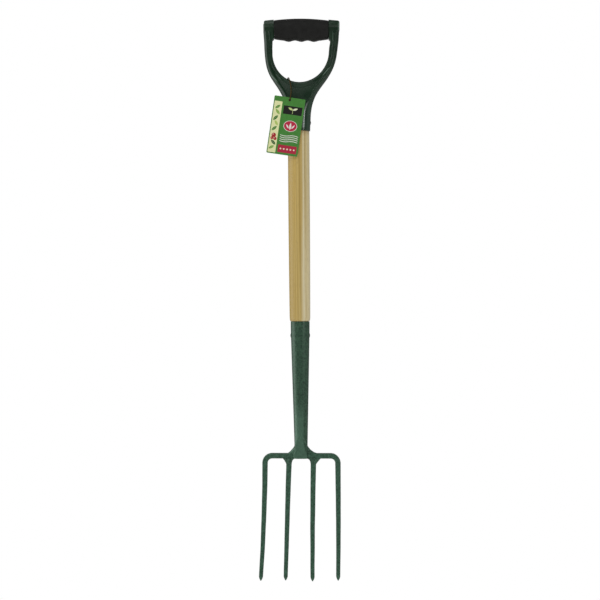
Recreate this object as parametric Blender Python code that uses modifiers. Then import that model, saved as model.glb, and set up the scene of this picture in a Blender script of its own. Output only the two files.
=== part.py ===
"""A border fork: a four-tined digging fork with an ash shaft and a moulded D handle.

Lengths are in metres, +Z is up and the front faces -Y. The origin is on the shaft's
axis, level with the underside of the grip, where the fork hangs from a peg.
"""

import math

import bmesh
import bpy
from mathutils import Matrix, Vector

# Clearance between pieces that rest on each other
SEAT_GAP = 0.0003
# How far a cutter runs past the faces that it cuts
CUT_PAST = 0.0050

# Overall layout, down from the underside of the grip
HAND_OPENING = 0.0743  # grip underside to the crotch of the handle
NECK_LENGTH = 0.0877  # crotch to the collar's end
SHAFT_SHOWING = 0.3409  # collar's end to the socket's rim
SOCKET_LENGTH = 0.2363  # socket's rim to the top of the cross bar
HEAD_LENGTH = 0.2265  # top of the cross bar to the tine tips

# Handle: outline
COLLAR_RADIUS = 0.0200
COLLAR_CHAMFER = 0.0008
COLLAR_STRAIGHT = 0.0300  # the collar is plain up to this far above its end
ARM_SPREAD = 0.0666  # half the handle's width, level with the grip's underside
ARM_LEAN = 0.0615  # how far an arm leans outwards for each metre of height
ARM_WIDTH = 0.0149
SHOULDER_DROP = 0.0046  # the middle of the shoulder curve is this far below the crotch
SHOULDER_LENGTH = 0.0153
OPENING_ROUND = 0.0546  # height of the half ellipse that ends the hand opening
OPENING_FILLET = 0.0030  # fillet under each end of the grip
EDGE_ROLL = 0.0025  # rounding of the hand opening's edges
LEDGE_ROLL = 0.00025  # the same beside the grip's ends, where the edges are crisp
HANDLE_OFFSET = 0.0062  # the grip's middle stands this far to the right of the shaft
LEAN_START = 0.0320  # above the collar's end, where that offset begins

# Handle: depth, recess and corner blocks
ARM_DEPTH = 0.0210
COLLAR_THINS_AT = 0.0788  # above the collar's end, the middle of the change of depth
THINNING_LENGTH = 0.0120
BLOCK_WIDTH = 0.0191
BLOCK_HEIGHT = 0.0222
BLOCK_DEPTH = 0.0275
BLOCK_ROUND = 0.0032
BLOCK_RISE = 0.0366  # top of the blocks above the grip's underside
BLOCK_FALL = 0.0017  # the blocks' tops fall this much towards their outer sides
ARM_SECTION = 6.0  # superellipse power of the arms, against 2 for the round collar
RIM = 0.0040  # width left round the recess
RECESS_DEPTH = 0.0024
RECESS_FOOT = 0.0470  # above the collar's end
RECESS_FOOT_ROUND = 0.0100
RECESS_FOOT_FLAT = 0.2  # share of the recess's width that its foot keeps
RECESS_OVER_GRIP = 0.0126  # the recess ends this far above the grip's underside

# Grip
GRIP_LENGTH = 0.0975
GRIP_DEPTH = 0.0310
GRIP_CROWN = 0.0035  # the top rises this much from the ends to the middle
FINGER_PITCH = 0.0226
FINGER_WAVE = 0.0023
FINGER_HOLLOW = 0.0016  # how far the finger hollows cut into front and back
GRIP_END_RISE = 0.0028
GRIP_SECTION = 2.7
CORE_RADIUS = 0.0100  # the cross bar inside the grip
CORE_ROOT = 0.0040  # how far the cross bar runs into each corner block

# Shaft
SHAFT_RADIUS = 0.0190
SHAFT_STRAIGHT = 0.1502  # below the collar's end, before the shaft narrows
SHAFT_FOOT_RADIUS = 0.0181
SHAFT_SHOULDER = 0.0085
TENON_RADIUS = 0.0140
TENON_LENGTH = 0.0440
SPIGOT_LENGTH = 0.1900
TENON_CHAMFER = 0.0010

# Socket
SOCKET_RIM_RADIUS = 0.0167
SOCKET_WALL = 0.0022
SOCKET_CHAMFER = 0.0005
TAPER_START = 0.0338  # below the rim
TAPER_RADIUS = 0.01615
NECK_RADIUS = 0.0114
NECK_RISE = 0.0158  # the taper ends this far above the cross bar
FLATTENING = 0.0260  # length over which the round tube becomes the flat saddle
TONGUE_THICKNESS = 0.0040
TONGUE_LENGTH = 0.0086
SADDLE_SECTION = 7.0

# Head
HEAD_WIDTH = 0.1400
BAR_HEIGHT = 0.0094
BAR_DEPTH = 0.0120
BAR_CORNER = 0.0148  # outer radius of the bent corners
BAR_GRIND = 0.0003  # the bar is ground thinner by this where it is welded
OUTER_TINE_WIDTH = 0.0093
INNER_TINE_WIDTH = 0.0090
TINE_TAPER = 0.72  # width near the point as a share of the width at the top
TINE_DEPTH = 0.0120
POINT_LENGTH = 0.0085
POINT_BLUNT = 0.16
INNER_SPACING = 0.0438  # between the middles of the inner tines, at the bar
OUTER_SPLAY = 0.0038
INNER_SPLAY = 0.0022
TIPS_OFFSET = -0.0044  # the tips stand this far to the left of the shaft's line
TINE_DISH = 0.0110  # the tips curve forwards this much
TINE_CHAMFER = 0.27  # share of a section's half sides that its rounded corners take

# Welds
NECK_FLARE_REACH = 0.0150
NECK_FLARE_POWER = 0.72
NECK_FLARE_DEPTH = 0.0078
NECK_TOE_DEPTH = 0.0050
NECK_TOE_HEIGHT = 0.0009
WELD_LIP = 0.0008
TREAD_MARGIN = 0.0010  # from a neck weld's toe to the start of the flat tread
WELD_DROP_OUT = 0.0105  # the tine welds' outer fillets
WELD_REACH_OUT = 0.0078
WELD_POWER_OUT = 0.85
WELD_DROP_IN = 0.0088  # the tine welds' rounder inner fillets
WELD_REACH_IN = 0.0080
WELD_POWER_IN = 0.58

# Rivets
HANDLE_RIVET_RISE = 0.0161  # above the collar's end
SOCKET_RIVET_DROP = 0.0252  # below the socket's rim
RIVET_RADIUS = 0.0028
HANDLE_RIVET_HEAD = 0.0049
SOCKET_RIVET_HEAD = 0.0045
RIVET_SINK = 0.0008  # depth of the flat seat cut for a rivet head
HANDLE_RIVET_PROUD = 0.0011
SOCKET_RIVET_PROUD = 0.0008
RIVET_EDGE = 0.0005  # straight edge of a rivet head under its dome

# Swing tag
CARD_WIDTH = 0.0556
CARD_HEIGHT = 0.1032
CARD_THICKNESS = 0.0008
CARD_CORNER = 0.0015
TAG_HOLE_RADIUS = 0.0022
TAG_HOLE_DROP = 0.0048
TAG_TILT = math.radians(8.3)
TAG_HOLE = Vector((-0.0154, -0.0210, -0.1084))  # the middle of the hole

# String: its route, point by point, from the knot over the crotch and back to the knot
STRING_RADIUS = 0.0010
STRING_STEP = 0.0048
STRING_ROUTE = (
    (-0.0206, 0.0177, -0.0760),
    (-0.0203, 0.0163, -0.0708),
    (-0.0197, 0.0117, -0.0671),
    (-0.0190, 0.0060, -0.0657),
    (-0.0183, 0.0000, -0.0654),
    (-0.0175, -0.0060, -0.0659),
    (-0.0166, -0.0112, -0.0678),
    (-0.0155, -0.0154, -0.0723),
    (-0.0140, -0.0178, -0.0790),
    (-0.0130, -0.0198, -0.0865),
    (-0.0130, -0.0217, -0.0945),
    (-0.0138, -0.0231, -0.1007),
    (-0.0148, -0.0233, -0.1053),
    (-0.0157, -0.0208, -0.1086),
    (-0.0181, -0.0182, -0.1093),
    (-0.0225, -0.0160, -0.1086),
    (-0.0263, -0.0105, -0.1067),
    (-0.0280, -0.0030, -0.1050),
    (-0.0278, 0.0050, -0.1032),
    (-0.0262, 0.0122, -0.1006),
    (-0.0236, 0.0172, -0.0960),
    (-0.0216, 0.0186, -0.0910),
    (-0.0208, 0.0180, -0.0872),
)
KNOT_PLACE = Vector((-0.0206, 0.0177, -0.0817))
KNOT_RADIUS = 0.0029
KNOT_WEAVE = 0.00145

# Levels that follow from the layout
CROTCH_Z = -HAND_OPENING
COLLAR_END_Z = CROTCH_Z - NECK_LENGTH
RIM_Z = COLLAR_END_Z - SHAFT_SHOWING
BAR_TOP_Z = RIM_Z - SOCKET_LENGTH
CROTCH_RISE = NECK_LENGTH
UNDERSIDE_RISE = NECK_LENGTH + HAND_OPENING
BLOCK_TOP_RISE = UNDERSIDE_RISE + BLOCK_RISE
CORE_RISE = UNDERSIDE_RISE + (BLOCK_RISE + GRIP_END_RISE) / 2
GRIP_SPACE = GRIP_LENGTH / 2 + SEAT_GAP


def clear_scene():
    for old in list(bpy.data.objects):
        bpy.data.objects.remove(old, do_unlink=True)


def new_collection(name):
    collection = bpy.data.collections.new(name)
    bpy.context.scene.collection.children.link(collection)
    return collection


def new_material(name, color, roughness, metallic=0.0):
    material = bpy.data.materials.new(name)
    material.use_nodes = True
    shader = material.node_tree.nodes["Principled BSDF"]
    shader.inputs["Base Color"].default_value = (*color, 1.0)
    shader.inputs["Roughness"].default_value = roughness
    shader.inputs["Metallic"].default_value = metallic
    material.diffuse_color = (*color, 1.0)
    return material


def new_object(name, mesh, place=(0, 0, 0)):
    made = bpy.data.objects.new(name, mesh)
    made.location = place
    PARTS.objects.link(made)
    return made


def as_cutter(made):
    """Moves an object to the cutters' collection and hides it from renders."""
    PARTS.objects.unlink(made)
    CUTTERS.objects.link(made)
    made.display_type = "WIRE"
    made.hide_render = True
    return made


def finish(made, material, parent=None, smooth_angle=35):
    made.data.materials.clear()
    made.data.materials.append(material)
    made.data.shade_smooth()
    made.data.set_sharp_from_angle(angle=math.radians(smooth_angle))
    if parent:
        made.parent = parent
        made.matrix_parent_inverse = parent.matrix_world.inverted()
    return made


def boolean(made, other, operation):
    step = made.modifiers.new(f"{operation.lower()} {other.name}", "BOOLEAN")
    step.operation = operation
    step.solver = "EXACT"
    step.object = other


def loft(name, rings, place=(0, 0, 0)):
    """One closed body through rings of equally many points, which turn the same way."""
    bm = bmesh.new()
    levels = [[bm.verts.new(point) for point in ring] for ring in rings]
    for low, high in zip(levels, levels[1:]):
        for i, corner in enumerate(low):
            after = (i + 1) % len(low)
            bm.faces.new((corner, low[after], high[after], high[i]))
    bm.faces.new(levels[0][::-1])
    bm.faces.new(levels[-1])
    bmesh.ops.recalc_face_normals(bm, faces=bm.faces)
    mesh = bpy.data.meshes.new(name)
    bm.to_mesh(mesh)
    bm.free()
    return new_object(name, mesh, place)


def turned(name, profile, place=(0, 0, 0), steps=36, along_x=False):
    """A turned shape. Its profile of (radius, height) runs down its outer side."""
    mesh = bpy.data.meshes.new(name)
    edges = [(i, i + 1) for i in range(len(profile) - 1)]
    mesh.from_pydata([(radius, 0, height) for radius, height in profile], edges, [])
    made = new_object(name, mesh, place)
    if along_x:
        made.rotation_euler.y = math.radians(90)
    screw = made.modifiers.new("turn", "SCREW")
    screw.steps = steps
    screw.render_steps = steps
    screw.use_merge_vertices = True
    screw.merge_threshold = 0.00001
    return made


def box(name, low, high):
    bm = bmesh.new()
    bmesh.ops.create_cube(bm, size=1)
    size = Vector(high) - Vector(low)
    bmesh.ops.scale(bm, vec=size, verts=bm.verts)
    mesh = bpy.data.meshes.new(name)
    bm.to_mesh(mesh)
    bm.free()
    return new_object(name, mesh, (Vector(high) + Vector(low)) / 2)


def curve_to_mesh(made, merge=0.00002):
    """Swaps a curve object for a mesh one, with its caps welded."""
    bpy.context.view_layer.update()
    evaluated = made.evaluated_get(bpy.context.evaluated_depsgraph_get())
    mesh = bpy.data.meshes.new_from_object(evaluated)
    bm = bmesh.new()
    bm.from_mesh(mesh)
    bmesh.ops.remove_doubles(bm, verts=bm.verts, dist=merge)
    bm.to_mesh(mesh)
    bm.free()
    name, matrix, curve = made.name, made.matrix_world.copy(), made.data
    bpy.data.objects.remove(made)
    bpy.data.curves.remove(curve)
    solid = new_object(name, mesh)
    solid.matrix_world = matrix
    return solid


def superellipse(half_x, half_y, power, count):
    """Points round a superellipse: power 2 is an ellipse, a high one a rounded box."""
    points = []
    for i in range(count):
        turn = 2 * math.pi * i / count
        c, s = math.cos(turn), math.sin(turn)
        x = half_x * math.copysign(abs(c) ** (2 / power), c)
        y = half_y * math.copysign(abs(s) ** (2 / power), s)
        points.append((x, y))
    return points


def rounded_box(half_x, half_y, share=TINE_CHAMFER, steps=2):
    """Points round a rectangle whose corners are ellipses of that share of each side."""
    points = []
    for quarter, (sx, sy) in enumerate(((1, 1), (-1, 1), (-1, -1), (1, -1))):
        for i in range(steps + 1):
            turn = math.pi / 2 * (quarter + i / steps)
            x = sx * half_x * (1 - share) + half_x * share * math.cos(turn)
            y = sy * half_y * (1 - share) + half_y * share * math.sin(turn)
            points.append((x, y))
    return points


def hollow_curve(share, power):
    """A fillet's height, from 1 at its root to 0 at its toe: an inward superellipse."""
    return max(0.0, 1 - min(1.0, share) ** power) ** (1 / power)


def logistic(value):
    return 1 / (1 + math.exp(-value))


# The handle's form, in heights above the collar's end


def handle_middle(rise):
    """Where the handle's middle is at a height, to the right of the shaft's axis."""
    span = UNDERSIDE_RISE - LEAN_START
    return HANDLE_OFFSET * min(1.0, max(0.0, (rise - LEAN_START) / span))


def shoulder(rise):
    return logistic((rise - CROTCH_RISE + SHOULDER_DROP) / SHOULDER_LENGTH)


def arm_line(rise):
    return ARM_SPREAD + ARM_LEAN * (min(rise, BLOCK_TOP_RISE) - UNDERSIDE_RISE)


def half_width(rise):
    return COLLAR_RADIUS + (arm_line(rise) - COLLAR_RADIUS) * shoulder(rise)


def half_depth(rise):
    thinned = logistic((rise - COLLAR_THINS_AT) / THINNING_LENGTH)
    return COLLAR_RADIUS + (ARM_DEPTH / 2 - COLLAR_RADIUS) * thinned


def section_power(rise):
    return 2 + (ARM_SECTION - 2) * shoulder(rise)


def face_depth(across, rise):
    """How far the front face stands from the middle plane, that far from the middle."""
    power = section_power(rise)
    share = min(0.98, abs(across) / half_width(rise))
    return half_depth(rise) * (1 - share**power) ** (1 / power)


def opening_half_width(rise, margin=0.0):
    """Half the width of the hand opening, grown all round by a margin."""
    round_rise = CROTCH_RISE + OPENING_ROUND
    if rise >= round_rise:
        return arm_line(rise) - ARM_WIDTH + margin
    widest = arm_line(round_rise) - ARM_WIDTH + margin
    share = (round_rise - rise) / (OPENING_ROUND + margin)
    return widest * math.sqrt(max(0.0, 1 - share**2))


def opening_outline():
    """The right half of the hand opening, from the crotch up to above the blocks."""
    points = []
    round_rise = CROTCH_RISE + OPENING_ROUND
    widest = opening_half_width(round_rise)
    for i in range(13):
        turn = math.pi / 2 * i / 12
        points.append((widest * math.sin(turn), round_rise - OPENING_ROUND * math.cos(turn)))
    ledge = UNDERSIDE_RISE + GRIP_END_RISE
    side = opening_half_width(ledge - OPENING_FILLET)
    for i in range(5):
        turn = math.pi / 2 * i / 4
        x = GRIP_SPACE + (side - GRIP_SPACE) * math.cos(turn)
        points.append((x, ledge - OPENING_FILLET * (1 - math.sin(turn))))
    points.append((GRIP_SPACE, BLOCK_TOP_RISE + CUT_PAST))
    return points


def opening_cutter():
    """The hand opening's cutter, which swells towards both faces to roll their edges."""
    half = opening_outline()
    outline = half + [(-x, rise) for x, rise in half[:0:-1]]
    ledge = UNDERSIDE_RISE + GRIP_END_RISE - OPENING_FILLET
    edge = []
    for i, (x, rise) in enumerate(outline):
        before = Vector(outline[i - 1])
        after = Vector(outline[(i + 1) % len(outline)])
        along = (after - before).normalized()
        roll = EDGE_ROLL if rise < ledge else LEDGE_ROLL
        edge.append((x, rise, Vector((along.y, -along.x)), roll))
    steps = [math.radians(turn) for turn in (75, 50, 25, 0)]
    beyond = ARM_DEPTH

    def ring(side, turn, past=0.0, out=0.0):
        points = []
        for x, rise, normal, roll in edge:
            offset = roll * (1 - math.cos(turn) + past * math.sin(turn))
            depth = face_depth(x, rise) - roll * (1 - math.sin(turn))
            depth += past * roll * math.cos(turn) + out
            across = x + normal.x * offset + handle_middle(rise)
            points.append((across, side * depth, rise + normal.y * offset))
        return points

    front = [ring(-1, steps[0], 1.2, beyond), ring(-1, steps[0], 1.2)]
    front += [ring(-1, turn) for turn in steps]
    back = [ring(1, turn) for turn in reversed(steps)]
    back += [ring(1, steps[0], 1.2), ring(1, steps[0], 1.2, beyond)]
    return as_cutter(loft("cut hand opening", front + back, (0, 0, COLLAR_END_Z)))


def recess_rises():
    """Heights of the recess's rows: round its foot, up the web, round the opening, up the arms."""
    web_low = RECESS_FOOT + RECESS_FOOT_ROUND
    web_high = CROTCH_RISE - RIM
    arch_top = CROTCH_RISE + OPENING_ROUND
    top = UNDERSIDE_RISE + RECESS_OVER_GRIP
    quarter = math.pi / 2
    rises = [web_low - RECESS_FOOT_ROUND * math.cos(quarter * i / 5) for i in range(5)]
    rises += [web_low + (web_high - web_low) * i / 4 for i in range(4)]
    rises += [arch_top - (OPENING_ROUND + RIM) * math.cos(quarter * i / 12) for i in range(12)]
    rises += [arch_top + (top - arch_top) * i / 3 for i in range(4)]
    return rises


def recess_floor(across, outer, rise):
    """The sunk face's depth: flatter across than the face it is sunk in."""
    return (face_depth(across, rise) + face_depth(outer, rise)) / 2 - RECESS_DEPTH


def recess_cutter(name, side):
    """The sunk web and arm channels of one face: a sheet of rows, drawn out of the face."""
    bm = bmesh.new()
    sheet = {-1: [], 1: []}
    for rise in recess_rises():
        slope = (half_width(rise + 0.001) - half_width(rise - 0.001)) / 0.002
        outer = half_width(rise) - RIM * math.hypot(1, slope)
        below = max(0.0, 1 - (rise - RECESS_FOOT) / RECESS_FOOT_ROUND)
        outer *= max(RECESS_FOOT_FLAT, math.sqrt(1 - min(1.0, below) ** 2))
        inner = opening_half_width(rise, RIM) if rise > CROTCH_RISE - RIM else 0.0
        for hand in (-1, 1):
            row = []
            for across in (inner, (inner + outer) / 2, outer):
                x = hand * across + handle_middle(rise)
                row.append(bm.verts.new((x, side * recess_floor(across, outer, rise), rise)))
            sheet[hand].append(row)
    for hand in (-1, 1):
        for low, high in zip(sheet[hand], sheet[hand][1:]):
            for i in (0, 1):
                bm.faces.new((low[i], low[i + 1], high[i + 1], high[i]))
    bmesh.ops.remove_doubles(bm, verts=bm.verts, dist=0.00001)
    drawn = bmesh.ops.extrude_face_region(bm, geom=bm.faces[:])["geom"]
    for corner in drawn:
        if isinstance(corner, bmesh.types.BMVert):
            corner.co.y = side * (COLLAR_RADIUS + CUT_PAST)
    bmesh.ops.recalc_face_normals(bm, faces=bm.faces)
    mesh = bpy.data.meshes.new(name)
    bm.to_mesh(mesh)
    bm.free()
    return as_cutter(new_object(name, mesh, (0, 0, COLLAR_END_Z)))


def corner_block(name, hand):
    """A cap block. It runs past its inner face, which the opening's cutter then trims."""
    middle = handle_middle(BLOCK_TOP_RISE)
    inner = GRIP_SPACE - 2 * BLOCK_ROUND
    outer = GRIP_SPACE + BLOCK_WIDTH
    x = sorted((middle + hand * inner, middle + hand * outer))
    top = COLLAR_END_Z + BLOCK_TOP_RISE
    low = (x[0], -BLOCK_DEPTH / 2, top - BLOCK_HEIGHT)
    made = box(name, low, (x[1], BLOCK_DEPTH / 2, top))
    for corner in made.data.vertices:
        if corner.co.z > 0 and corner.co.x * hand > 0:
            corner.co.z -= BLOCK_FALL
    bevel = made.modifiers.new("round the edges", "BEVEL")
    bevel.width = BLOCK_ROUND
    bevel.segments = 3
    return as_cutter(made)


def core_bar(name, radius, reach):
    middle = Vector((handle_middle(CORE_RISE), 0, COLLAR_END_Z + CORE_RISE))
    profile = [(0, reach), (radius, reach), (radius, -reach), (0, -reach)]
    return as_cutter(turned(name, profile, middle, steps=24, along_x=True))


def build_yoke(material, handle):
    last = BLOCK_TOP_RISE - 2 * BLOCK_ROUND
    steps = 30
    levels = [0.0, COLLAR_CHAMFER, COLLAR_STRAIGHT / 2]
    levels += [COLLAR_STRAIGHT + (last - COLLAR_STRAIGHT) * i / steps for i in range(steps + 1)]
    rings = []
    for rise in levels:
        sunk = COLLAR_CHAMFER if rise == 0 else 0.0
        wide, deep = half_width(rise) - sunk, half_depth(rise) - sunk
        outline = superellipse(wide, deep, section_power(rise), 44)
        rings.append([(x + handle_middle(rise), y, rise) for x, y in outline])
    yoke = loft("handle_yoke", rings, (0, 0, COLLAR_END_Z))
    for hand, side in ((-1, "left"), (1, "right")):
        boolean(yoke, corner_block(f"add {side} corner block", hand), "UNION")
    boolean(yoke, opening_cutter(), "DIFFERENCE")
    for face, side in ((-1, "front"), (1, "back")):
        boolean(yoke, recess_cutter(f"cut {side} recess", face), "DIFFERENCE")
    boolean(yoke, core_bar("add core bar", CORE_RADIUS, GRIP_SPACE + CORE_ROOT), "UNION")
    radius = TENON_RADIUS + SEAT_GAP
    depth = TENON_LENGTH + SEAT_GAP
    profile = [(0, depth), (radius, depth), (radius, -CUT_PAST), (0, -CUT_PAST)]
    bore = turned("cut tenon bore", profile)
    bore.location.z = COLLAR_END_Z
    boolean(yoke, as_cutter(bore), "DIFFERENCE")
    return finish(yoke, material, handle)


def build_grip(material, handle):
    """Sections along the grip, pinched between the fingers."""
    half = GRIP_LENGTH / 2
    stations = 36
    rings = []
    for i in range(stations + 1):
        x = -half + GRIP_LENGTH * i / stations
        top = BLOCK_RISE + GRIP_CROWN * (1 - (x / half) ** 2)
        wave = (1 - math.cos(2 * math.pi * x / FINGER_PITCH)) / 2
        ends = max(0.0, abs(x) - 1.5 * FINGER_PITCH) / (half - 1.5 * FINGER_PITCH)
        wave = 1.0 if ends > 0 else wave
        bottom = FINGER_WAVE * wave + (GRIP_END_RISE - FINGER_WAVE) * ends**2
        middle, tall = (top + bottom) / 2, (top - bottom) / 2
        ring = []
        for y, z in superellipse(GRIP_DEPTH / 2, tall, GRIP_SECTION, 26):
            low = max(0.0, -z / tall)
            pinch = 1 - FINGER_HOLLOW / (GRIP_DEPTH / 2) * wave * math.sin(math.pi * low) ** 2
            ring.append((x, y * pinch, middle + z))
        rings.append(ring)
    grip = loft("grip_sleeve", rings, (handle_middle(CORE_RISE), 0, 0))
    bore = core_bar("cut grip bore", CORE_RADIUS + SEAT_GAP, GRIP_SPACE + CUT_PAST)
    boolean(grip, bore, "DIFFERENCE")
    return finish(grip, material, handle)


def socket_radius(drop):
    """The socket's outer radius, that far below its rim."""
    taper_end = SOCKET_LENGTH - NECK_RISE
    if drop < TAPER_START:
        share = max(0.0, drop / TAPER_START)
        return SOCKET_RIM_RADIUS + (TAPER_RADIUS - SOCKET_RIM_RADIUS) * share**2
    share = min(1.0, (drop - TAPER_START) / (taper_end - TAPER_START))
    return TAPER_RADIUS + (NECK_RADIUS - TAPER_RADIUS) * share


def bore_profile(clearance):
    """The socket's bore from the rim down, or the spigot that fits it."""
    drops = (0.0, TAPER_START / 2, TAPER_START, SPIGOT_LENGTH)
    return [(socket_radius(drop) - SOCKET_WALL - clearance, -drop) for drop in drops]


def build_shaft(material):
    """A turned shaft: tenon, straight, taper, rounded shoulder and spigot."""
    profile = [(0, TENON_LENGTH), (TENON_RADIUS - TENON_CHAMFER, TENON_LENGTH)]
    profile += [(TENON_RADIUS, TENON_LENGTH - TENON_CHAMFER), (TENON_RADIUS, -SEAT_GAP)]
    profile += [(SHAFT_RADIUS, -SEAT_GAP), (SHAFT_RADIUS, -SHAFT_STRAIGHT)]
    low = SHAFT_SHOWING - SEAT_GAP
    narrowing = low - SHAFT_SHOULDER - SHAFT_STRAIGHT
    for i in range(1, 6):
        share = i / 5
        radius = SHAFT_RADIUS + (SHAFT_FOOT_RADIUS - SHAFT_RADIUS) * share**1.5
        profile.append((radius, -SHAFT_STRAIGHT - narrowing * share))
    for i in range(1, 6):
        turn = math.pi / 2 * i / 5
        radius = SOCKET_RIM_RADIUS + (SHAFT_FOOT_RADIUS - SOCKET_RIM_RADIUS) * math.cos(turn)
        profile.append((radius, -low + SHAFT_SHOULDER * (1 - math.sin(turn))))
    spigot = [(radius, height - SHAFT_SHOWING) for radius, height in bore_profile(SEAT_GAP)]
    spigot[0] = (spigot[0][0], -low)
    profile += spigot + [(0, spigot[-1][1])]
    shaft = turned("shaft", profile, (0, 0, COLLAR_END_Z))
    return finish(shaft, material)


def build_socket(material, head):
    """A tapered tube whose foot flattens into a saddle with a slot for the cross bar."""
    foot = SOCKET_LENGTH + TONGUE_LENGTH
    flat_start = SOCKET_LENGTH - NECK_RISE - FLATTENING / 2
    drops = [0.0, SOCKET_CHAMFER, TAPER_START / 2, TAPER_START]
    drops += [TAPER_START + (flat_start - TAPER_START) * i / 3 for i in (1, 2, 3)]
    drops += [flat_start + FLATTENING * i / 6 for i in range(1, 7)]
    drops += [foot - SOCKET_CHAMFER, foot]
    saddle_depth = BAR_DEPTH / 2 + SEAT_GAP + TONGUE_THICKNESS
    rings = []
    for drop in drops:
        flat = min(1.0, max(0.0, (drop - flat_start) / FLATTENING))
        flat = flat * flat * (3 - 2 * flat)
        radius = socket_radius(drop)
        if drop in (0.0, foot):
            radius -= SOCKET_CHAMFER
        deep = radius + (saddle_depth - NECK_RADIUS) * flat
        power = 2 + (SADDLE_SECTION - 2) * flat
        outline = superellipse(radius, deep, power, 36)
        rings.append([(x, y, -drop) for x, y in outline])
    socket = loft("socket", rings, (0, 0, RIM_Z))
    bore = bore_profile(0)
    bore[0] = (bore[0][0], CUT_PAST)
    depth = SPIGOT_LENGTH + SEAT_GAP
    profile = [(0, CUT_PAST), *bore, (bore[-1][0], -depth), (0, -depth)]
    boolean(socket, as_cutter(turned("cut socket bore", profile, (0, 0, RIM_Z))), "DIFFERENCE")
    side = BAR_DEPTH / 2 + SEAT_GAP
    low = (-2 * NECK_RADIUS, -side, BAR_TOP_Z - 2 * BAR_HEIGHT)
    slot = box("cut bar slot", low, (2 * NECK_RADIUS, side, BAR_TOP_Z + SEAT_GAP))
    boolean(socket, as_cutter(slot), "DIFFERENCE")
    return finish(socket, material, head)


def tine_line(top_x, splay, share):
    """The middle of a tine, in the head's frame: share is 0 at the bar, 1 at the tip."""
    root = BAR_CORNER / HEAD_LENGTH
    below = max(0.0, share - root) / (1 - root)
    x = top_x + (math.copysign(splay, top_x) + TIPS_OFFSET) * below
    return Vector((x, -TINE_DISH * share**2, -HEAD_LENGTH * share))


def tine_stations(top_x, splay, start):
    """Middles and sizes down a tine, from a share of the head's length to the tip."""
    point = 1 - POINT_LENGTH / HEAD_LENGTH
    shares = [start + (point - start) * i / 9 for i in range(10)]
    shares += [point + (1 - point) * i / 4 for i in range(1, 5)]
    stations = []
    for share in shares:
        size = 1 - (1 - TINE_TAPER) * min(1.0, share / point)
        if share > point:
            left = (1 - share) / (1 - point)
            size *= POINT_BLUNT + (1 - POINT_BLUNT) * math.sin(math.pi / 2 * left)
        stations.append((tine_line(top_x, splay, share), size))
    return stations


def swept(name, stations, width, depth, place):
    """A bar through stations of (middle, width, depth), square to its own path."""
    rings = []
    for i, (middle, size) in enumerate(stations):
        before = stations[max(0, i - 1)][0]
        after = stations[min(len(stations) - 1, i + 1)][0]
        along = (after - before).normalized()
        across = along.cross(Vector((0, 1, 0))).normalized()
        forward = across.cross(along)
        ring = []
        for u, v in rounded_box(width / 2 * size[0], depth / 2 * size[1]):
            ring.append(middle + across * u + forward * v)
        rings.append(ring)
    return loft(name, rings, place)


def outer_tine_top():
    return (HEAD_WIDTH - OUTER_TINE_WIDTH) / 2


def bar_stations(end):
    """The straight of the cross bar: flat treads, with ground seats for the welds between."""
    seat = NECK_RADIUS + SEAT_GAP + NECK_FLARE_REACH + TREAD_MARGIN
    stations = []
    for x, ground in ((end, 0.0), (seat, 0.0), (seat - 2 * BAR_GRIND, BAR_GRIND)):
        size = (BAR_HEIGHT - ground) / OUTER_TINE_WIDTH
        stations.append((Vector((x, 0, -BAR_HEIGHT / 2)), (size, 1.0)))
    mirrored = [(Vector((-middle.x, 0, middle.z)), size) for middle, size in stations]
    return mirrored + stations[::-1]


def build_outer_bar(material, head):
    """Left tine, bent corner, cross bar, bent corner and right tine, in one sweep."""
    radius = BAR_CORNER - BAR_HEIGHT / 2
    start = BAR_CORNER / HEAD_LENGTH
    bar_size = BAR_HEIGHT / OUTER_TINE_WIDTH
    down = tine_stations(outer_tine_top(), OUTER_SPLAY, start)
    up = tine_stations(-outer_tine_top(), OUTER_SPLAY, start)
    stations = [(middle, (size, size)) for middle, size in reversed(up)]
    for hand in (-1, 1):
        for i in range(1, 7):
            turn = math.pi / 2 * (i / 7 if hand < 0 else 1 - i / 7)
            x = outer_tine_top() - radius * (1 - math.cos(turn))
            z = -BAR_CORNER + radius * math.sin(turn)
            wide = 1 + (bar_size - 1) * math.sin(turn)
            stations.append((Vector((hand * x, 0, z)), (wide, 1.0)))
        if hand < 0:
            stations += bar_stations(outer_tine_top() - radius)
    stations += [(middle, (size, size)) for middle, size in down]
    bar = swept("outer_tine_bar", stations, OUTER_TINE_WIDTH, TINE_DEPTH, (0, 0, BAR_TOP_Z))
    return finish(bar, material, head, 50)


def build_inner_tine(name, hand, material, head):
    start = (BAR_HEIGHT + SEAT_GAP) / HEAD_LENGTH
    stations = tine_stations(hand * INNER_SPACING / 2, INNER_SPLAY, start)
    stations = [(middle, (size, size)) for middle, size in stations]
    tine = swept(name, stations, INNER_TINE_WIDTH, TINE_DEPTH, (0, 0, BAR_TOP_Z))
    return finish(tine, material, head, 50)


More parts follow.
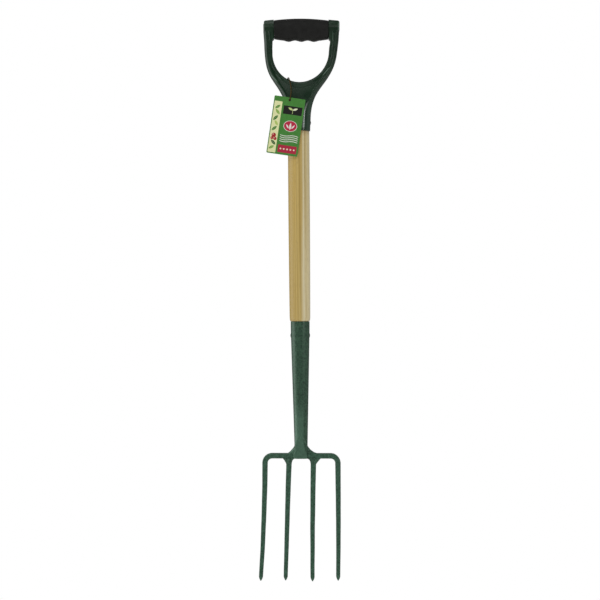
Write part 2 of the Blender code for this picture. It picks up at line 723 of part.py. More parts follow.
def build_tine_weld(name, hand, material, head):
    """The fillet round an inner tine's root, which reaches further on its outer side."""
    rings = []
    for i in range(8):
        below = SEAT_GAP + (WELD_DROP_OUT - SEAT_GAP) * (i / 7) ** 1.5
        drop = BAR_HEIGHT + below
        middle = tine_line(hand * INNER_SPACING / 2, INNER_SPLAY, drop / HEAD_LENGTH)
        outwards = WELD_REACH_OUT * hollow_curve(below / WELD_DROP_OUT, WELD_POWER_OUT)
        inwards = WELD_REACH_IN * hollow_curve(below / WELD_DROP_IN, WELD_POWER_IN)
        half = INNER_TINE_WIDTH / 2 + WELD_LIP
        wide = half + (outwards + inwards) / 2
        shift = hand * (outwards - inwards) / 2
        deep = TINE_DEPTH / 2 + WELD_LIP
        outline = rounded_box(wide, deep, 0.35, 3)
        rings.append([(middle.x + shift + x, middle.y + y, -drop) for x, y in outline])
    weld = loft(name, rings, (0, 0, BAR_TOP_Z))
    hole = []
    for drop in (BAR_HEIGHT - CUT_PAST, BAR_HEIGHT + WELD_DROP_OUT + CUT_PAST):
        middle = tine_line(hand * INNER_SPACING / 2, INNER_SPLAY, drop / HEAD_LENGTH)
        sides = (INNER_TINE_WIDTH / 2 + SEAT_GAP, TINE_DEPTH / 2 + SEAT_GAP)
        outline = rounded_box(*sides)
        hole.append([(middle.x + x, middle.y + y, -drop) for x, y in outline])
    cutter = as_cutter(loft(f"cut {name}", hole, (0, 0, BAR_TOP_Z)))
    boolean(weld, cutter, "DIFFERENCE")
    return finish(weld, material, head)


def build_neck_weld(name, hand, material, head):
    """The flared fillet between the socket's side and the top of the cross bar."""
    rings = []
    for i in range(11):
        share = i / 10
        x = NECK_RADIUS + SEAT_GAP + NECK_FLARE_REACH * share
        rise = NECK_TOE_HEIGHT + (NECK_RISE - NECK_TOE_HEIGHT) * hollow_curve(
            share, NECK_FLARE_POWER
        )
        deep = NECK_FLARE_DEPTH + (NECK_TOE_DEPTH - NECK_FLARE_DEPTH) * share
        ring = []
        for k in range(13):
            turn = math.pi * k / 12
            c, s = math.cos(turn), math.sin(turn)
            y = deep * math.copysign(abs(c) ** 0.8, c)
            ring.append((hand * x, y, SEAT_GAP + rise * s**0.7))
        rings.append(ring)
    weld = loft(name, rings, (0, 0, BAR_TOP_Z))
    return finish(weld, material, head)


def rivet_profile(reach, head_radius, proud, clearance=0.0, past=0.0):
    """Half of a two-headed rivet's side, from one end to the middle plane."""
    seat = reach - RIVET_SINK
    if past:
        radius = head_radius + clearance
        return [(0, reach + past), (radius, reach + past), (radius, seat)]
    under = seat + SEAT_GAP
    edge = under + RIVET_EDGE
    top = reach + proud
    dome = []
    for i in range(5):
        turn = math.pi / 2 * i / 4
        dome.append((head_radius * math.sin(turn), edge + (top - edge) * math.cos(turn)))
    return dome + [(head_radius, under)]


def rivet_shape(name, reach, head_radius, proud, place, clearance=0.0, past=0.0):
    """A rivet along X, or with a clearance the cutter that seats it."""
    half = rivet_profile(reach, head_radius, proud, clearance, past)
    shank = RIVET_RADIUS + clearance
    half.append((shank, half[-1][1]))
    profile = half + [(radius, -height) for radius, height in reversed(half)]
    return turned(name, profile, place, steps=18, along_x=True)


def build_rivet(name, reach, head_radius, proud, z, material, holders):
    place = (0, 0, z)
    cutter = rivet_shape(f"cut {name}", reach, head_radius, proud, place, SEAT_GAP, CUT_PAST)
    as_cutter(cutter)
    for holder in holders:
        boolean(holder, cutter, "DIFFERENCE")
    rivet = rivet_shape(name, reach, head_radius, proud, place)
    return finish(rivet, material)


def build_tag(material):
    """A card with a hole. Its own origin is the middle of the hole, which it swings on."""
    curve = bpy.data.curves.new("swing_tag", "CURVE")
    curve.dimensions = "2D"
    curve.fill_mode = "BOTH"
    curve.extrude = CARD_THICKNESS / 2
    middle_y = TAG_HOLE_DROP - CARD_HEIGHT / 2
    round_x = CARD_CORNER / (CARD_WIDTH / 2)
    round_y = CARD_CORNER / (CARD_HEIGHT / 2)
    outline = []
    for quarter, (sx, sy) in enumerate(((1, 1), (-1, 1), (-1, -1), (1, -1))):
        for i in range(4):
            turn = math.pi / 2 * (quarter + i / 3)
            x = CARD_WIDTH / 2 * (sx * (1 - round_x) + round_x * math.cos(turn))
            y = CARD_HEIGHT / 2 * (sy * (1 - round_y) + round_y * math.sin(turn))
            outline.append((x, middle_y + y))
    hole = []
    for i in range(16):
        turn = 2 * math.pi * i / 16
        hole.append((TAG_HOLE_RADIUS * math.cos(turn), TAG_HOLE_RADIUS * math.sin(turn)))
    for loop in (outline, hole):
        spline = curve.splines.new("POLY")
        spline.points.add(len(loop) - 1)
        for point, (x, y) in zip(spline.points, loop):
            point.co = (x, y, 0, 1)
        spline.use_cyclic_u = True
    flat = bpy.data.objects.new("swing_tag", curve)
    PARTS.objects.link(flat)
    tag = curve_to_mesh(flat)
    tag.data.transform(Matrix.Rotation(math.radians(90), 4, "X"))
    tag.location = TAG_HOLE
    tag.rotation_euler.y = TAG_TILT
    return finish(tag, material)


def smooth_route(route, step):
    """Points about a step apart on the smooth curve through a cord's own points."""
    knots = [Vector(point) for point in route]
    knots = [2 * knots[0] - knots[1], *knots, 2 * knots[-1] - knots[-2]]
    fine = []
    for a, b, c, d in zip(knots, knots[1:], knots[2:], knots[3:]):
        for i in range(20):
            t = i / 20
            fine.append(
                0.5
                * (
                    2 * b
                    + (c - a) * t
                    + (2 * a - 5 * b + 4 * c - d) * t**2
                    + (3 * b - a - 3 * c + d) * t**3
                )
            )
    fine.append(knots[-2])
    length = sum((b - a).length for a, b in zip(fine, fine[1:]))
    count = round(length / step)
    points, gone, target = [fine[0]], 0.0, length / count
    for a, b in zip(fine, fine[1:]):
        gone += (b - a).length
        if gone >= target * len(points) and len(points) < count:
            points.append(b)
    return [*points, fine[-1]]


def tube(name, points, radius, closed=False):
    curve = bpy.data.curves.new(name, "CURVE")
    curve.dimensions = "3D"
    curve.bevel_depth = radius
    curve.bevel_resolution = 2
    curve.use_fill_caps = True
    spline = curve.splines.new("POLY")
    spline.points.add(len(points) - 1)
    for point, place in zip(spline.points, points):
        point.co = (*place, 1)
    spline.use_cyclic_u = closed
    made = bpy.data.objects.new(name, curve)
    PARTS.objects.link(made)
    return curve_to_mesh(made)


def build_string(material):
    cord = tube("tag_string", smooth_route(STRING_ROUTE, STRING_STEP), STRING_RADIUS)
    return finish(cord, material)


def build_knot(material):
    """An overhand knot pulled tight: a three-lobed knotted loop, flat to the web."""
    points = []
    for i in range(30):
        turn = 2 * math.pi * i / 30
        out = KNOT_RADIUS + KNOT_WEAVE * math.cos(3 * turn)
        x, z = out * math.cos(2 * turn), out * math.sin(2 * turn)
        points.append((x, KNOT_WEAVE * math.sin(3 * turn), z))
    knot = tube("string_knot", points, STRING_RADIUS, closed=True)
    knot.location = KNOT_PLACE
    return finish(knot, material)


def frame_empty(name, z):
    empty = bpy.data.objects.new(name, None)
    empty.location.z = z
    empty.empty_display_size = 0.02
    PARTS.objects.link(empty)
    bpy.context.view_layer.update()
    return empty


def build_fork():
    yoke_green = new_material("yoke_green", (0.016, 0.040, 0.026), 0.38)
    grip_black = new_material("grip_black", (0.016, 0.016, 0.015), 0.62)
    ash = new_material("ash", (0.52, 0.38, 0.19), 0.45)
    hammered_green = new_material("hammered_green", (0.028, 0.085, 0.058), 0.35, 0.3)
    rivet_steel = new_material("rivet_steel", (0.10, 0.11, 0.11), 0.4, 0.8)
    tag_card = new_material("tag_card", (0.05, 0.25, 0.03), 0.5)
    twine = new_material("twine", (0.12, 0.06, 0.025), 0.9)

    handle = frame_empty("handle frame", COLLAR_END_Z)
    head = frame_empty("head frame", BAR_TOP_Z)
    yoke = build_yoke(yoke_green, handle)
    build_grip(grip_black, handle)
    shaft = build_shaft(ash)
    socket = build_socket(hammered_green, head)
    build_rivet(
        "handle_rivet",
        COLLAR_RADIUS,
        HANDLE_RIVET_HEAD,
        HANDLE_RIVET_PROUD,
        COLLAR_END_Z + HANDLE_RIVET_RISE,
        rivet_steel,
        (yoke, shaft),
    )
    build_rivet(
        "socket_rivet",
        socket_radius(SOCKET_RIVET_DROP),
        SOCKET_RIVET_HEAD,
        SOCKET_RIVET_PROUD,
        RIM_Z - SOCKET_RIVET_DROP,
        rivet_steel,
        (socket, shaft),
    )
    build_outer_bar(hammered_green, head)
    for hand, side in ((-1, "left"), (1, "right")):
        build_inner_tine(f"inner_tine_{side}", hand, hammered_green, head)
        build_tine_weld(f"tine_weld_{side}", hand, hammered_green, head)
        build_neck_weld(f"neck_weld_{side}", hand, hammered_green, head)
    build_tag(tag_card)
    build_string(twine)
    build_knot(twine)


clear_scene()
PARTS = new_collection("border fork")
CUTTERS = new_collection("cutters")
build_fork()
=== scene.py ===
"""Looks for a border fork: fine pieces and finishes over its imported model.

Lengths are in metres. The fork's front faces -Y, and the origin is on the shaft's axis,
level with the underside of the hand grip.
"""

import math

import bmesh
import bpy
import numpy as np
from mathutils import Matrix, Vector, geometry, kdtree, noise


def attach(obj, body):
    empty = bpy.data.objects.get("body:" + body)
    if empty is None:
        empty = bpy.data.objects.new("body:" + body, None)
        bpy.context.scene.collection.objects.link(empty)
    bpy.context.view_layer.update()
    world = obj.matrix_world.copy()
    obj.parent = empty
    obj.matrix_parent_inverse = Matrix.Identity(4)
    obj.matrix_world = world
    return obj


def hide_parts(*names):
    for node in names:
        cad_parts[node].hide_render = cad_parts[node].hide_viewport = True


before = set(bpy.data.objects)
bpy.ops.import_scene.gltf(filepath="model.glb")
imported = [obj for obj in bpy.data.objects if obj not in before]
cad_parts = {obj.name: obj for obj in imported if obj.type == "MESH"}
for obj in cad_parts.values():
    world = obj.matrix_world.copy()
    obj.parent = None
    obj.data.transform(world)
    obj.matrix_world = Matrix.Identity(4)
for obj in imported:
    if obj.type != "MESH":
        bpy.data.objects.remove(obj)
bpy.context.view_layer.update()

# Camera
CAMERA_PLACE = (0.0001, -3.0, -0.4647)
CAMERA_LENS = 100.3
CAMERA_ROLL = math.radians(0.44)

# Studio: each lamp's name, place, size and power, and the floor
LAMPS = (
    ("left softbox", (-1.75, 0.10, -0.10), (1.5, 2.0), 10),
    ("right strip", (1.52, -1.43, -0.23), (0.30, 0.74), 3.1),
    ("front fill", (-0.9, -2.2, 1.6), (1.8, 1.0), 15),
)
LAMP_TARGET = Vector((0, 0, -0.45))
FLOOR_REACH = 1.25
FLOOR_Z = -1.45

# Levels down the fork
COLLAR_END_Z = -0.1620
SHAFT_SHOWING = 0.3409
SOCKET_LENGTH = 0.2363
HEAD_LENGTH = 0.2265
RIM_Z = COLLAR_END_Z - SHAFT_SHOWING
BAR_TOP_Z = RIM_Z - SOCKET_LENGTH

# Handle, in heights above the collar's end
COLLAR_RADIUS = 0.0200
COLLAR_CHAMFER = 0.0008
CROTCH_RISE = 0.0871
UNDERSIDE_RISE = 0.1620
ARM_SPREAD = 0.0666
ARM_LEAN = 0.0615
ARM_WIDTH = 0.0149
ARM_DEPTH = 0.0214
ARM_SECTION = 6.0
ARM_ROUND = 0.0072
SHOULDER_DROP = 0.0046
SHOULDER_LENGTH = 0.0153
COLLAR_THINS_AT = 0.0788
THINNING_LENGTH = 0.0120
OPENING_ROUND = 0.0552
OPENING_FILLET = 0.0030
EDGE_ROLL = 0.0025
LEDGE_ROLL = 0.0009
HANDLE_OFFSET = 0.0060
HANDLE_TILT = -0.0077
GRIP_TILT = -0.0115
NECK_SWELL = 0.0010
LEAN_RISES = (0.0320, 0.0740, 0.1010, 0.1280, 0.1620)
LEAN_SHARES = (0, 0.22, 0.40, 0.74, 1.0)
OPENING_RISES = (0.080, 0.101, 0.128, 0.150, 0.1585)
OPENING_SHIFTS = (0.0, 0.0005, -0.0003, -0.0005, 0.0)
BLOCK_WIDTHS = {-1: 0.0178, 1: 0.0195}
BLOCK_HEIGHT = 0.0210
BLOCK_DEPTH = 0.0275
BLOCK_ROUND = 0.0032
BLOCK_RISE = 0.0366
BLOCK_FALL = 0.0017
BLOCK_FOOT_RISE = UNDERSIDE_RISE + BLOCK_RISE - BLOCK_HEIGHT
ARM_TOP_RISE = UNDERSIDE_RISE + BLOCK_RISE - 2 * BLOCK_ROUND
RIM = 0.0040
OUTER_RIM = 0.0056
RECESS_DEPTH = 0.0022
RECESS_SHALLOWS = (0.098, 0.130)
RECESS_WALL = 0.0024
RECESS_SOFT_WALL = 0.0060
FLANK_BAND = 0.0022
NET_STEP = 0.0016
NET_REACH = 0.0700
RECESS_FOOT = 0.0470
RECESS_FOOT_ROUND = 0.0100
RECESS_FOOT_FLAT = 0.2
RECESS_TOP = UNDERSIDE_RISE + 0.0126
RIB_PLACE = 0.0570
RIB_HALF = 0.0017
RIB_HEIGHT = 0.0017
RIB_FOOT = UNDERSIDE_RISE - 0.0020
RIB_TOP = UNDERSIDE_RISE + 0.0156
BEAD_RISE = UNDERSIDE_RISE + 0.0280
BEAD_HALF = 0.0016
BEAD_HEIGHT = 0.0006
PANEL_TOP = UNDERSIDE_RISE + 0.0262
PANEL_DEPTH = 0.0030
PANEL_STEP = 0.0030

# Grip
GRIP_LENGTH = 0.0975
GRIP_DEPTH = 0.0310
GRIP_CROWN = 0.0032
GRIP_END_RISE = 0.0028
GRIP_SAG = 0.0011
GRIP_SECTION = 2.7
GRIP_SPACE = GRIP_LENGTH / 2 + 0.0003
FINGER_PITCH = 0.0226
FINGER_WAVE = 0.0023
FINGER_HOLLOW = 0.0016

# Shaft and socket
SHAFT_RADIUS = 0.0193
SHAFT_STRAIGHT = 0.1502
SHAFT_FOOT_RADIUS = 0.0185
SHAFT_SHOULDER = 0.0085
SHAFT_SHIFT = -0.0002
TENON_RADIUS = 0.0140
SOCKET_RIM_RADIUS = 0.0170
TAPER_START = 0.0338
TAPER_RADIUS = 0.0165
NECK_RADIUS = 0.0118
NECK_RISE = 0.0158
FLATTENING = 0.0260
SADDLE_DEPTH = 0.0103
SADDLE_SECTION = 7.0
TONGUE_LENGTH = 0.0099
TONGUE_FLARE = 0.0027
TONGUE_CORNER = 0.0040
TONGUE_SPREADS = (-0.0040, 0.0020)

# Head
HEAD_WIDTH = 0.1406
BAR_HEIGHT = 0.0094
BAR_CORNER = 0.0177
OUTER_TINE_WIDTH = 0.0099
INNER_TINE_WIDTH = 0.0100
TINE_TAPER = 0.735
TINE_DEPTH = 0.0120
POINT_LENGTH = 0.0085
POINT_BLUNT = 0.16
INNER_SPACING = 0.0438
OUTER_SPLAY = 0.0038
INNER_SPLAY = 0.0022
TIPS_OFFSET = -0.0044
TINE_DISH = 0.0110
BAR_SHIFT = 0.0005
OUTER_BOWS = {-1: (0.0049, -0.0058, 0.0009), 1: (0.0019, -0.0026, 0.0002)}
INNER_BOWS = {-1: (-0.0016, 0.0007, 0.0), 1: (-0.0033, 0.0023, 0.0021)}
HEAD_TILT = -0.0108
HEAD_DROP = -0.00027

# Welds: how far a fillet drops and reaches, and its hollow, outside and inside a tine
TINE_FILLETS = {
    "left": (0.0098, 0.0054, 0.85, 0.0082, 0.0074, 0.55),
    "right": (0.0104, 0.0077, 0.95, 0.0078, 0.0087, 0.54),
}
NECK_FILLETS = {"left": (0.0126, 0.78), "right": (0.0153, 0.72)}
NECK_FILLET_RISE = 0.0158
NECK_FILLET_DEPTHS = (0.0078, 0.0052)
WELD_SINK = 0.0006

# Rivets: name, node, reach, head's radius, dome and height
RIVETS = (
    ("collar_rivet", "handle_rivet", 0.0200, 0.0049, 0.0022, COLLAR_END_Z + 0.0153),
    ("rim_rivet", "socket_rivet", 0.0160, 0.0045, 0.0016, RIM_Z - 0.0252),
)
RIVET_PIN = 0.0028

# Tag and string
CARD_WIDTH = 0.0556
CARD_HEIGHT = 0.1032
CARD_THICKNESS = 0.0008
CARD_CORNER = 0.0015
TAG_HOLE_RADIUS = 0.0022
TAG_HOLE_DROP = 0.0048
TAG_TILT = math.radians(8.8)
TAG_HOLE = Vector((-0.0154, -0.0210, -0.1084))
STRING_RADIUS = 0.0010
STRING_ROUTE = (
    (-0.0206, 0.0177, -0.0760),
    (-0.0203, 0.0163, -0.0708),
    (-0.0197, 0.0117, -0.0677),
    (-0.0190, 0.0060, -0.0665),
    (-0.0183, 0.0000, -0.0662),
    (-0.0175, -0.0060, -0.0667),
    (-0.0166, -0.0112, -0.0684),
    (-0.0155, -0.0154, -0.0723),
    (-0.0140, -0.0178, -0.0790),
    (-0.0130, -0.0198, -0.0865),
    (-0.0130, -0.0217, -0.0945),
    (-0.0138, -0.0231, -0.1007),
    (-0.0148, -0.0233, -0.1053),
    (-0.0157, -0.0208, -0.1086),
    (-0.0181, -0.0182, -0.1093),
    (-0.0225, -0.0160, -0.1086),
    (-0.0263, -0.0105, -0.1067),
    (-0.0280, -0.0030, -0.1050),
    (-0.0278, 0.0050, -0.1032),
    (-0.0262, 0.0122, -0.1006),
    (-0.0236, 0.0172, -0.0960),
    (-0.0216, 0.0186, -0.0910),
    (-0.0208, 0.0180, -0.0872),
)
KNOT_PLACE = Vector((-0.0206, 0.0177, -0.0817))
KNOT_RADIUS = 0.0029
KNOT_WEAVE = 0.00145
KNOT_ENDS = (
    ((0.0022, 0.0006, -0.0020), (0.0042, 0.0014, -0.0058), (0.0048, 0.0010, -0.0102)),
    ((0.0004, 0.0004, 0.0040), (0.0006, -0.0015, 0.0100), (0.0018, -0.0052, 0.0138),
     (0.0041, -0.0092, 0.0140), (0.0056, -0.0117, 0.0130)),
)


# Node trees, written as expressions


class Wire:
    """A node's output. Python's operators on it add Math nodes."""

    def __init__(self, tree, socket):
        self.tree = tree
        self.socket = socket

    def math(self, operation, *others):
        values = dict(enumerate((self, *others)))
        return self.tree.node("ShaderNodeMath", {"operation": operation}, values)

    def __add__(self, other):
        return self.math("ADD", other)

    def __sub__(self, other):
        return self.math("SUBTRACT", other)

    def __mul__(self, other):
        return self.math("MULTIPLY", other)

    def __truediv__(self, other):
        return self.math("DIVIDE", other)

    def __pow__(self, other):
        return self.math("POWER", other)

    __radd__ = __add__
    __rmul__ = __mul__

    def __rsub__(self, other):
        return self * -1 + other

    def __abs__(self):
        return self.math("ABSOLUTE")


class Tree:
    """A node tree under construction, for a finish, for the world or for a form."""

    def __init__(self, owner):
        self.owner = owner

    def node(self, kind, settings=None, sockets=None, output=0):
        """Adds a node: its settings first, then its sockets' values or links."""
        made = self.owner.nodes.new(kind)
        for key, value in (settings or {}).items():
            setattr(made, key, value)
        for key, value in (sockets or {}).items():
            if isinstance(value, Wire):
                self.owner.links.new(value.socket, made.inputs[key])
            else:
                made.inputs[key].default_value = value
        return Wire(self, made.outputs[output])

    def parts(self, vector):
        """The X, Y and Z of a vector."""
        first = self.node("ShaderNodeSeparateXYZ", None, {0: vector})
        return [Wire(self, socket) for socket in first.socket.node.outputs]

    def place(self):
        return self.node("ShaderNodeTexCoord", output="Object")

    def scaled(self, vector, sizes):
        settings = {"operation": "MULTIPLY"}
        return self.node("ShaderNodeVectorMath", settings, {0: vector, 1: sizes})

    def noise(self, vector, scale, detail=2.0, roughness=0.5):
        values = {"Vector": vector, "Scale": scale, "Detail": detail, "Roughness": roughness}
        return self.node("ShaderNodeTexNoise", None, values)

    def cells(self, vector, scale):
        values = {"Vector": vector, "Scale": scale, "Smoothness": 0.6}
        return self.node("ShaderNodeTexVoronoi", {"feature": "SMOOTH_F1"}, values)

    def rise(self, value, low, high):
        """0 below low and 1 above high, with a smooth change between them."""
        values = {"Value": value, "From Min": low, "From Max": high}
        return self.node("ShaderNodeMapRange", {"interpolation_type": "SMOOTHSTEP"}, values)

    def stripe(self, value, middle, inner, outer):
        """1 within inner of the middle and 0 beyond outer, on both sides."""
        return 1 - self.rise(abs(value - middle), inner, outer)

    def between(self, value, start, full, ebb, end):
        """0 up to start, 1 from full to ebb and 0 from end on."""
        return self.rise(value, start, full) * (1 - self.rise(value, ebb, end))

    def mix(self, share, first, second):
        """The first colour where the share is 0, the second where it is 1."""
        first, second = (rgb(c) if isinstance(c, str) else c for c in (first, second))
        values = {0: share, 6: first, 7: second}
        return self.node("ShaderNodeMix", {"data_type": "RGBA"}, values, 2)

    def bump(self, height, distance, strength):
        values = {"Height": height, "Distance": distance, "Strength": strength}
        return self.node("ShaderNodeBump", None, values)


def rgb(code):
    """A linear colour from a hex code."""
    values = [int(code[i : i + 2], 16) / 255 for i in (0, 2, 4)]
    linear = [v / 12.92 if v <= 0.04045 else ((v + 0.055) / 1.055) ** 2.4 for v in values]
    return (*linear, 1.0)


def socket_name(label):
    return label.replace("_", " ").title().replace("Ior", "IOR")


def new_finish(name, **constants):
    """A material with its tree and its shader. Constants go on the shader's own sockets."""
    finish = bpy.data.materials.new(name)
    finish.use_nodes = True
    shader = finish.node_tree.nodes["Principled BSDF"]
    for label, value in constants.items():
        shader.inputs[socket_name(label)].default_value = value
    tree = Tree(finish.node_tree)

    def feed(**sockets):
        for label, wire in sockets.items():
            socket = shader.inputs[socket_name(label)]
            if isinstance(wire, Wire):
                finish.node_tree.links.new(wire.socket, socket)
            else:
                socket.default_value = wire

    return finish, tree, feed


# Painted highlights along the lower arms' edges: side, distance out along the slope, lower end,
# upper end, strength
PAINTED_ARM_HIGHLIGHTS = (
    (1, 0.0988, -0.064, -0.048, 0.50),
    (-1, 0.0924, -0.071, -0.058, 0.26),
    (-1, 0.1025, -0.075, -0.060, 0.34),
)


def moulded_green():
    """Dark green glass-filled plastic: satin and faintly mottled, polished at the collar, with
    painted light: the collar's right side painted lighter, a painted highlight on the collar, and
    painted highlights on the ribs, the right block's outer corner and the lower arms' edges.
    """
    finish, tree, feed = new_finish("moulded_green", specular_ior_level=0.55)
    place = tree.place()
    x, y, z = tree.parts(place)
    cloud = tree.noise(place, 55, 3, 0.6)
    grain = tree.noise(place, 1700, 2)
    dust = tree.noise(place, 240, 4, 0.7)
    turn = x.math("ARCTAN2", y * -1)
    rise = z - COLLAR_END_Z
    # the collar's zone: polished there, and where its painted highlight and lighter right side go
    collar_zone = 1 - tree.rise(rise, 0.035, 0.060)
    # painted highlight: a pale streak down the collar's front right
    painted_collar_highlight = collar_zone * tree.stripe(turn, 0.46, 0.05, 0.15)
    painted_collar_highlight = painted_collar_highlight * tree.between(rise, 0.003, 0.007, 0.032, 0.050)
    # painted highlight along each rib's inner flank, stronger on the right arm
    painted_rib_highlight = tree.stripe(abs(x - HANDLE_OFFSET), RIB_PLACE - 0.0007, 0.0003, 0.0012)
    painted_rib_highlight = painted_rib_highlight * tree.between(z, -0.003, 0.002, 0.0146, 0.0154)
    # painted highlight down the right block's outer corner
    corner = tree.stripe(x, 0.0729, 0.0006, 0.0017)
    corner = corner * tree.between(z, 0.016, 0.019, 0.030, 0.033)
    color = tree.mix(tree.rise(cloud, 0.35, 0.68), "082914", "0f321a")
    color = tree.mix(tree.rise(grain, 0.52, 0.75) * 0.2, color, "2c4a39")
    # painted reflection: the collar's right side painted lighter
    color = tree.mix(collar_zone * tree.rise(turn, 0.30, 1.2) * 0.42, color, "4a6455")
    # painted highlight on the collar
    color = tree.mix(painted_collar_highlight * 0.38, color, "b9c7c0")
    # painted highlight on the ribs
    color = tree.mix(painted_rib_highlight * (0.05 + 0.40 * tree.rise(x, 0, 0.01)), color, "56705f")
    # painted highlight on the right block's corner
    color = tree.mix(corner * 0.60, color, "6c8676")
    # painted highlights on the lower arms, on the front only
    for side, out, foot, top, share in PAINTED_ARM_HIGHLIGHTS:
        arm_highlight = tree.stripe(x * side - z * 0.875, out, 0.0003, 0.0013)
        arm_highlight = arm_highlight * tree.between(z, foot, foot + 0.003, top - 0.003, top)
        color = tree.mix(arm_highlight * tree.rise(y, 0, -0.002) * share, color, "8fa898")
    feed(
        base_color=color,
        roughness=0.24 + 0.12 * tree.rise(cloud, 0.3, 0.7) + 0.05 * dust - 0.15 * collar_zone,
        normal=tree.bump((grain + cloud * 0.5) * (1 - 0.75 * collar_zone), 0.00010, 0.45),
    )
    return finish


def grip_rubber():
    """Black soft rubber with a fine grain and a parting line under its crown, its groove darkened
    with painted shade.
    """
    finish, tree, feed = new_finish("grip_rubber", specular_ior_level=0.3)
    place = tree.place()
    x, y, z = tree.parts(place)
    grain = tree.noise(place, 1500, 3, 0.6)
    cloud = tree.noise(place, 90, 3)
    out = x - HANDLE_OFFSET
    groove = tree.stripe(z + out * out * 1.2, 0.0335, 0.0002, 0.0007)
    color = tree.mix(tree.rise(cloud, 0.35, 0.7), "151513", "1c1c1a")
    color = tree.mix(tree.rise(grain, 0.55, 0.8) * 0.4, color, "2a2a28")
    # painted shade: the parting line's groove painted darker
    color = tree.mix(groove * 0.6, color, "0c0c0b")
    feed(
        base_color=color,
        roughness=0.5 + 0.18 * grain,
        normal=tree.bump(grain * 0.4 - groove, 0.0003, 0.7),
    )
    return finish


def ash_wood():
    """Turned ash under thin varnish: rings cut lengthwise and pores, lighter towards the bottom.
    Painted light across the turn: darker on the left, lighter to the right with a painted
    reflection at the far right, a painted highlight streak with a painted shade line beside it, and
    painted shade at both ends.
    """
    finish, tree, feed = new_finish("ash_wood", coat_weight=0.4, coat_roughness=0.17)
    place = tree.place()
    x, y, z = tree.parts(place)
    sway = tree.noise(tree.scaled(place, (14, 14, 3.0)), 1.0, 2)
    warp = tree.noise(tree.scaled(place, (60, 60, 5.0)), 1.0, 3)
    across = x * 0.94 + y * 0.34 + z * 0.006 + sway * 0.012 + warp * 0.0035
    depth = y * 0.94 - x * 0.34 + 0.045
    band = ((across * across + depth * depth) ** 0.5 * 330).math("FRACT")
    late = tree.between(band, 0.35, 0.93, 0.95, 1.0)
    fibre = tree.noise(tree.scaled(place, (1500, 1500, 22)), 1.0, 3, 0.65)
    streak = tree.noise(tree.scaled(place, (420, 420, 3.5)), 1.0, 3, 0.6)
    pores = tree.noise(tree.scaled(place, (2600, 2600, 90)), 1.0, 1)
    pore = tree.rise(pores, 0.62, 0.72) * tree.rise(late, 0.9, 0.2)
    turn = x.math("ARCTAN2", y * -1)
    low = 1 - tree.rise(z, -0.42, -0.25)
    # painted light across the turn: the right side lighter, the far right paler as a painted
    # reflection, the left side darker
    right = tree.rise(turn + low * 0.14, 0.18, 0.41)
    # painted shade: a darker line beside the painted highlight streak
    painted_shade_line = tree.stripe(turn - (sway - 0.5) * 0.3, 0.60, 0.02, 0.08)
    # painted highlight: a pale streak down the shaft's front right
    pale = tree.stripe(turn - (sway - 0.5) * 0.2, 0.42, 0.03, 0.10)
    # painted shade under the collar and at the socket's rim
    ends = tree.rise(z, COLLAR_END_Z - 0.012, COLLAR_END_Z) * 0.35
    ends = ends + (1 - tree.rise(z, RIM_Z, RIM_Z + 0.004)) * 0.2
    # base colour lighter on the right side: painted light
    color = tree.mix(right, "d0b160", "e0cb8f")
    for share, shade in (
        (low * (0.55 + 0.2 * right), tree.mix(right, "c9ae66", "efdfae")),
        (late * (0.62 - 0.12 * low - 0.24 * right), tree.mix(right, "a17e32", "b8a162")),
        # painted reflection down the far right side
        (tree.rise(turn, 0.60, 1.05) * (0.75 + 0.15 * low), "f8e8ba"),
        (tree.rise(streak, 0.45, 0.75) * 0.55, "d2be80"),
        (tree.rise(streak, 0.46, 0.26) * 0.45, "8f7036"),
        (tree.rise(fibre, 0.5, 0.8) * 0.25, "8a6c38"),
        (pore * 0.45, "7a5c2e"),
        # painted shade down the left side
        ((1 - tree.rise(turn, -0.8, -0.3)) * 0.55, "a58938"),
        (painted_shade_line * (0.5 - 0.4 * low), "8c7240"),
        # painted highlight streak
        (pale * (0.55 + 0.2 * low), "e4d9b2"),
        # painted shade at both ends
        (ends, "7d5c34"),
    ):
        color = tree.mix(share, color, shade)
    feed(
        base_color=color,
        roughness=0.42 + 0.12 * fibre,
        normal=tree.bump(fibre - pore, 0.00008, 0.5),
    )
    return finish


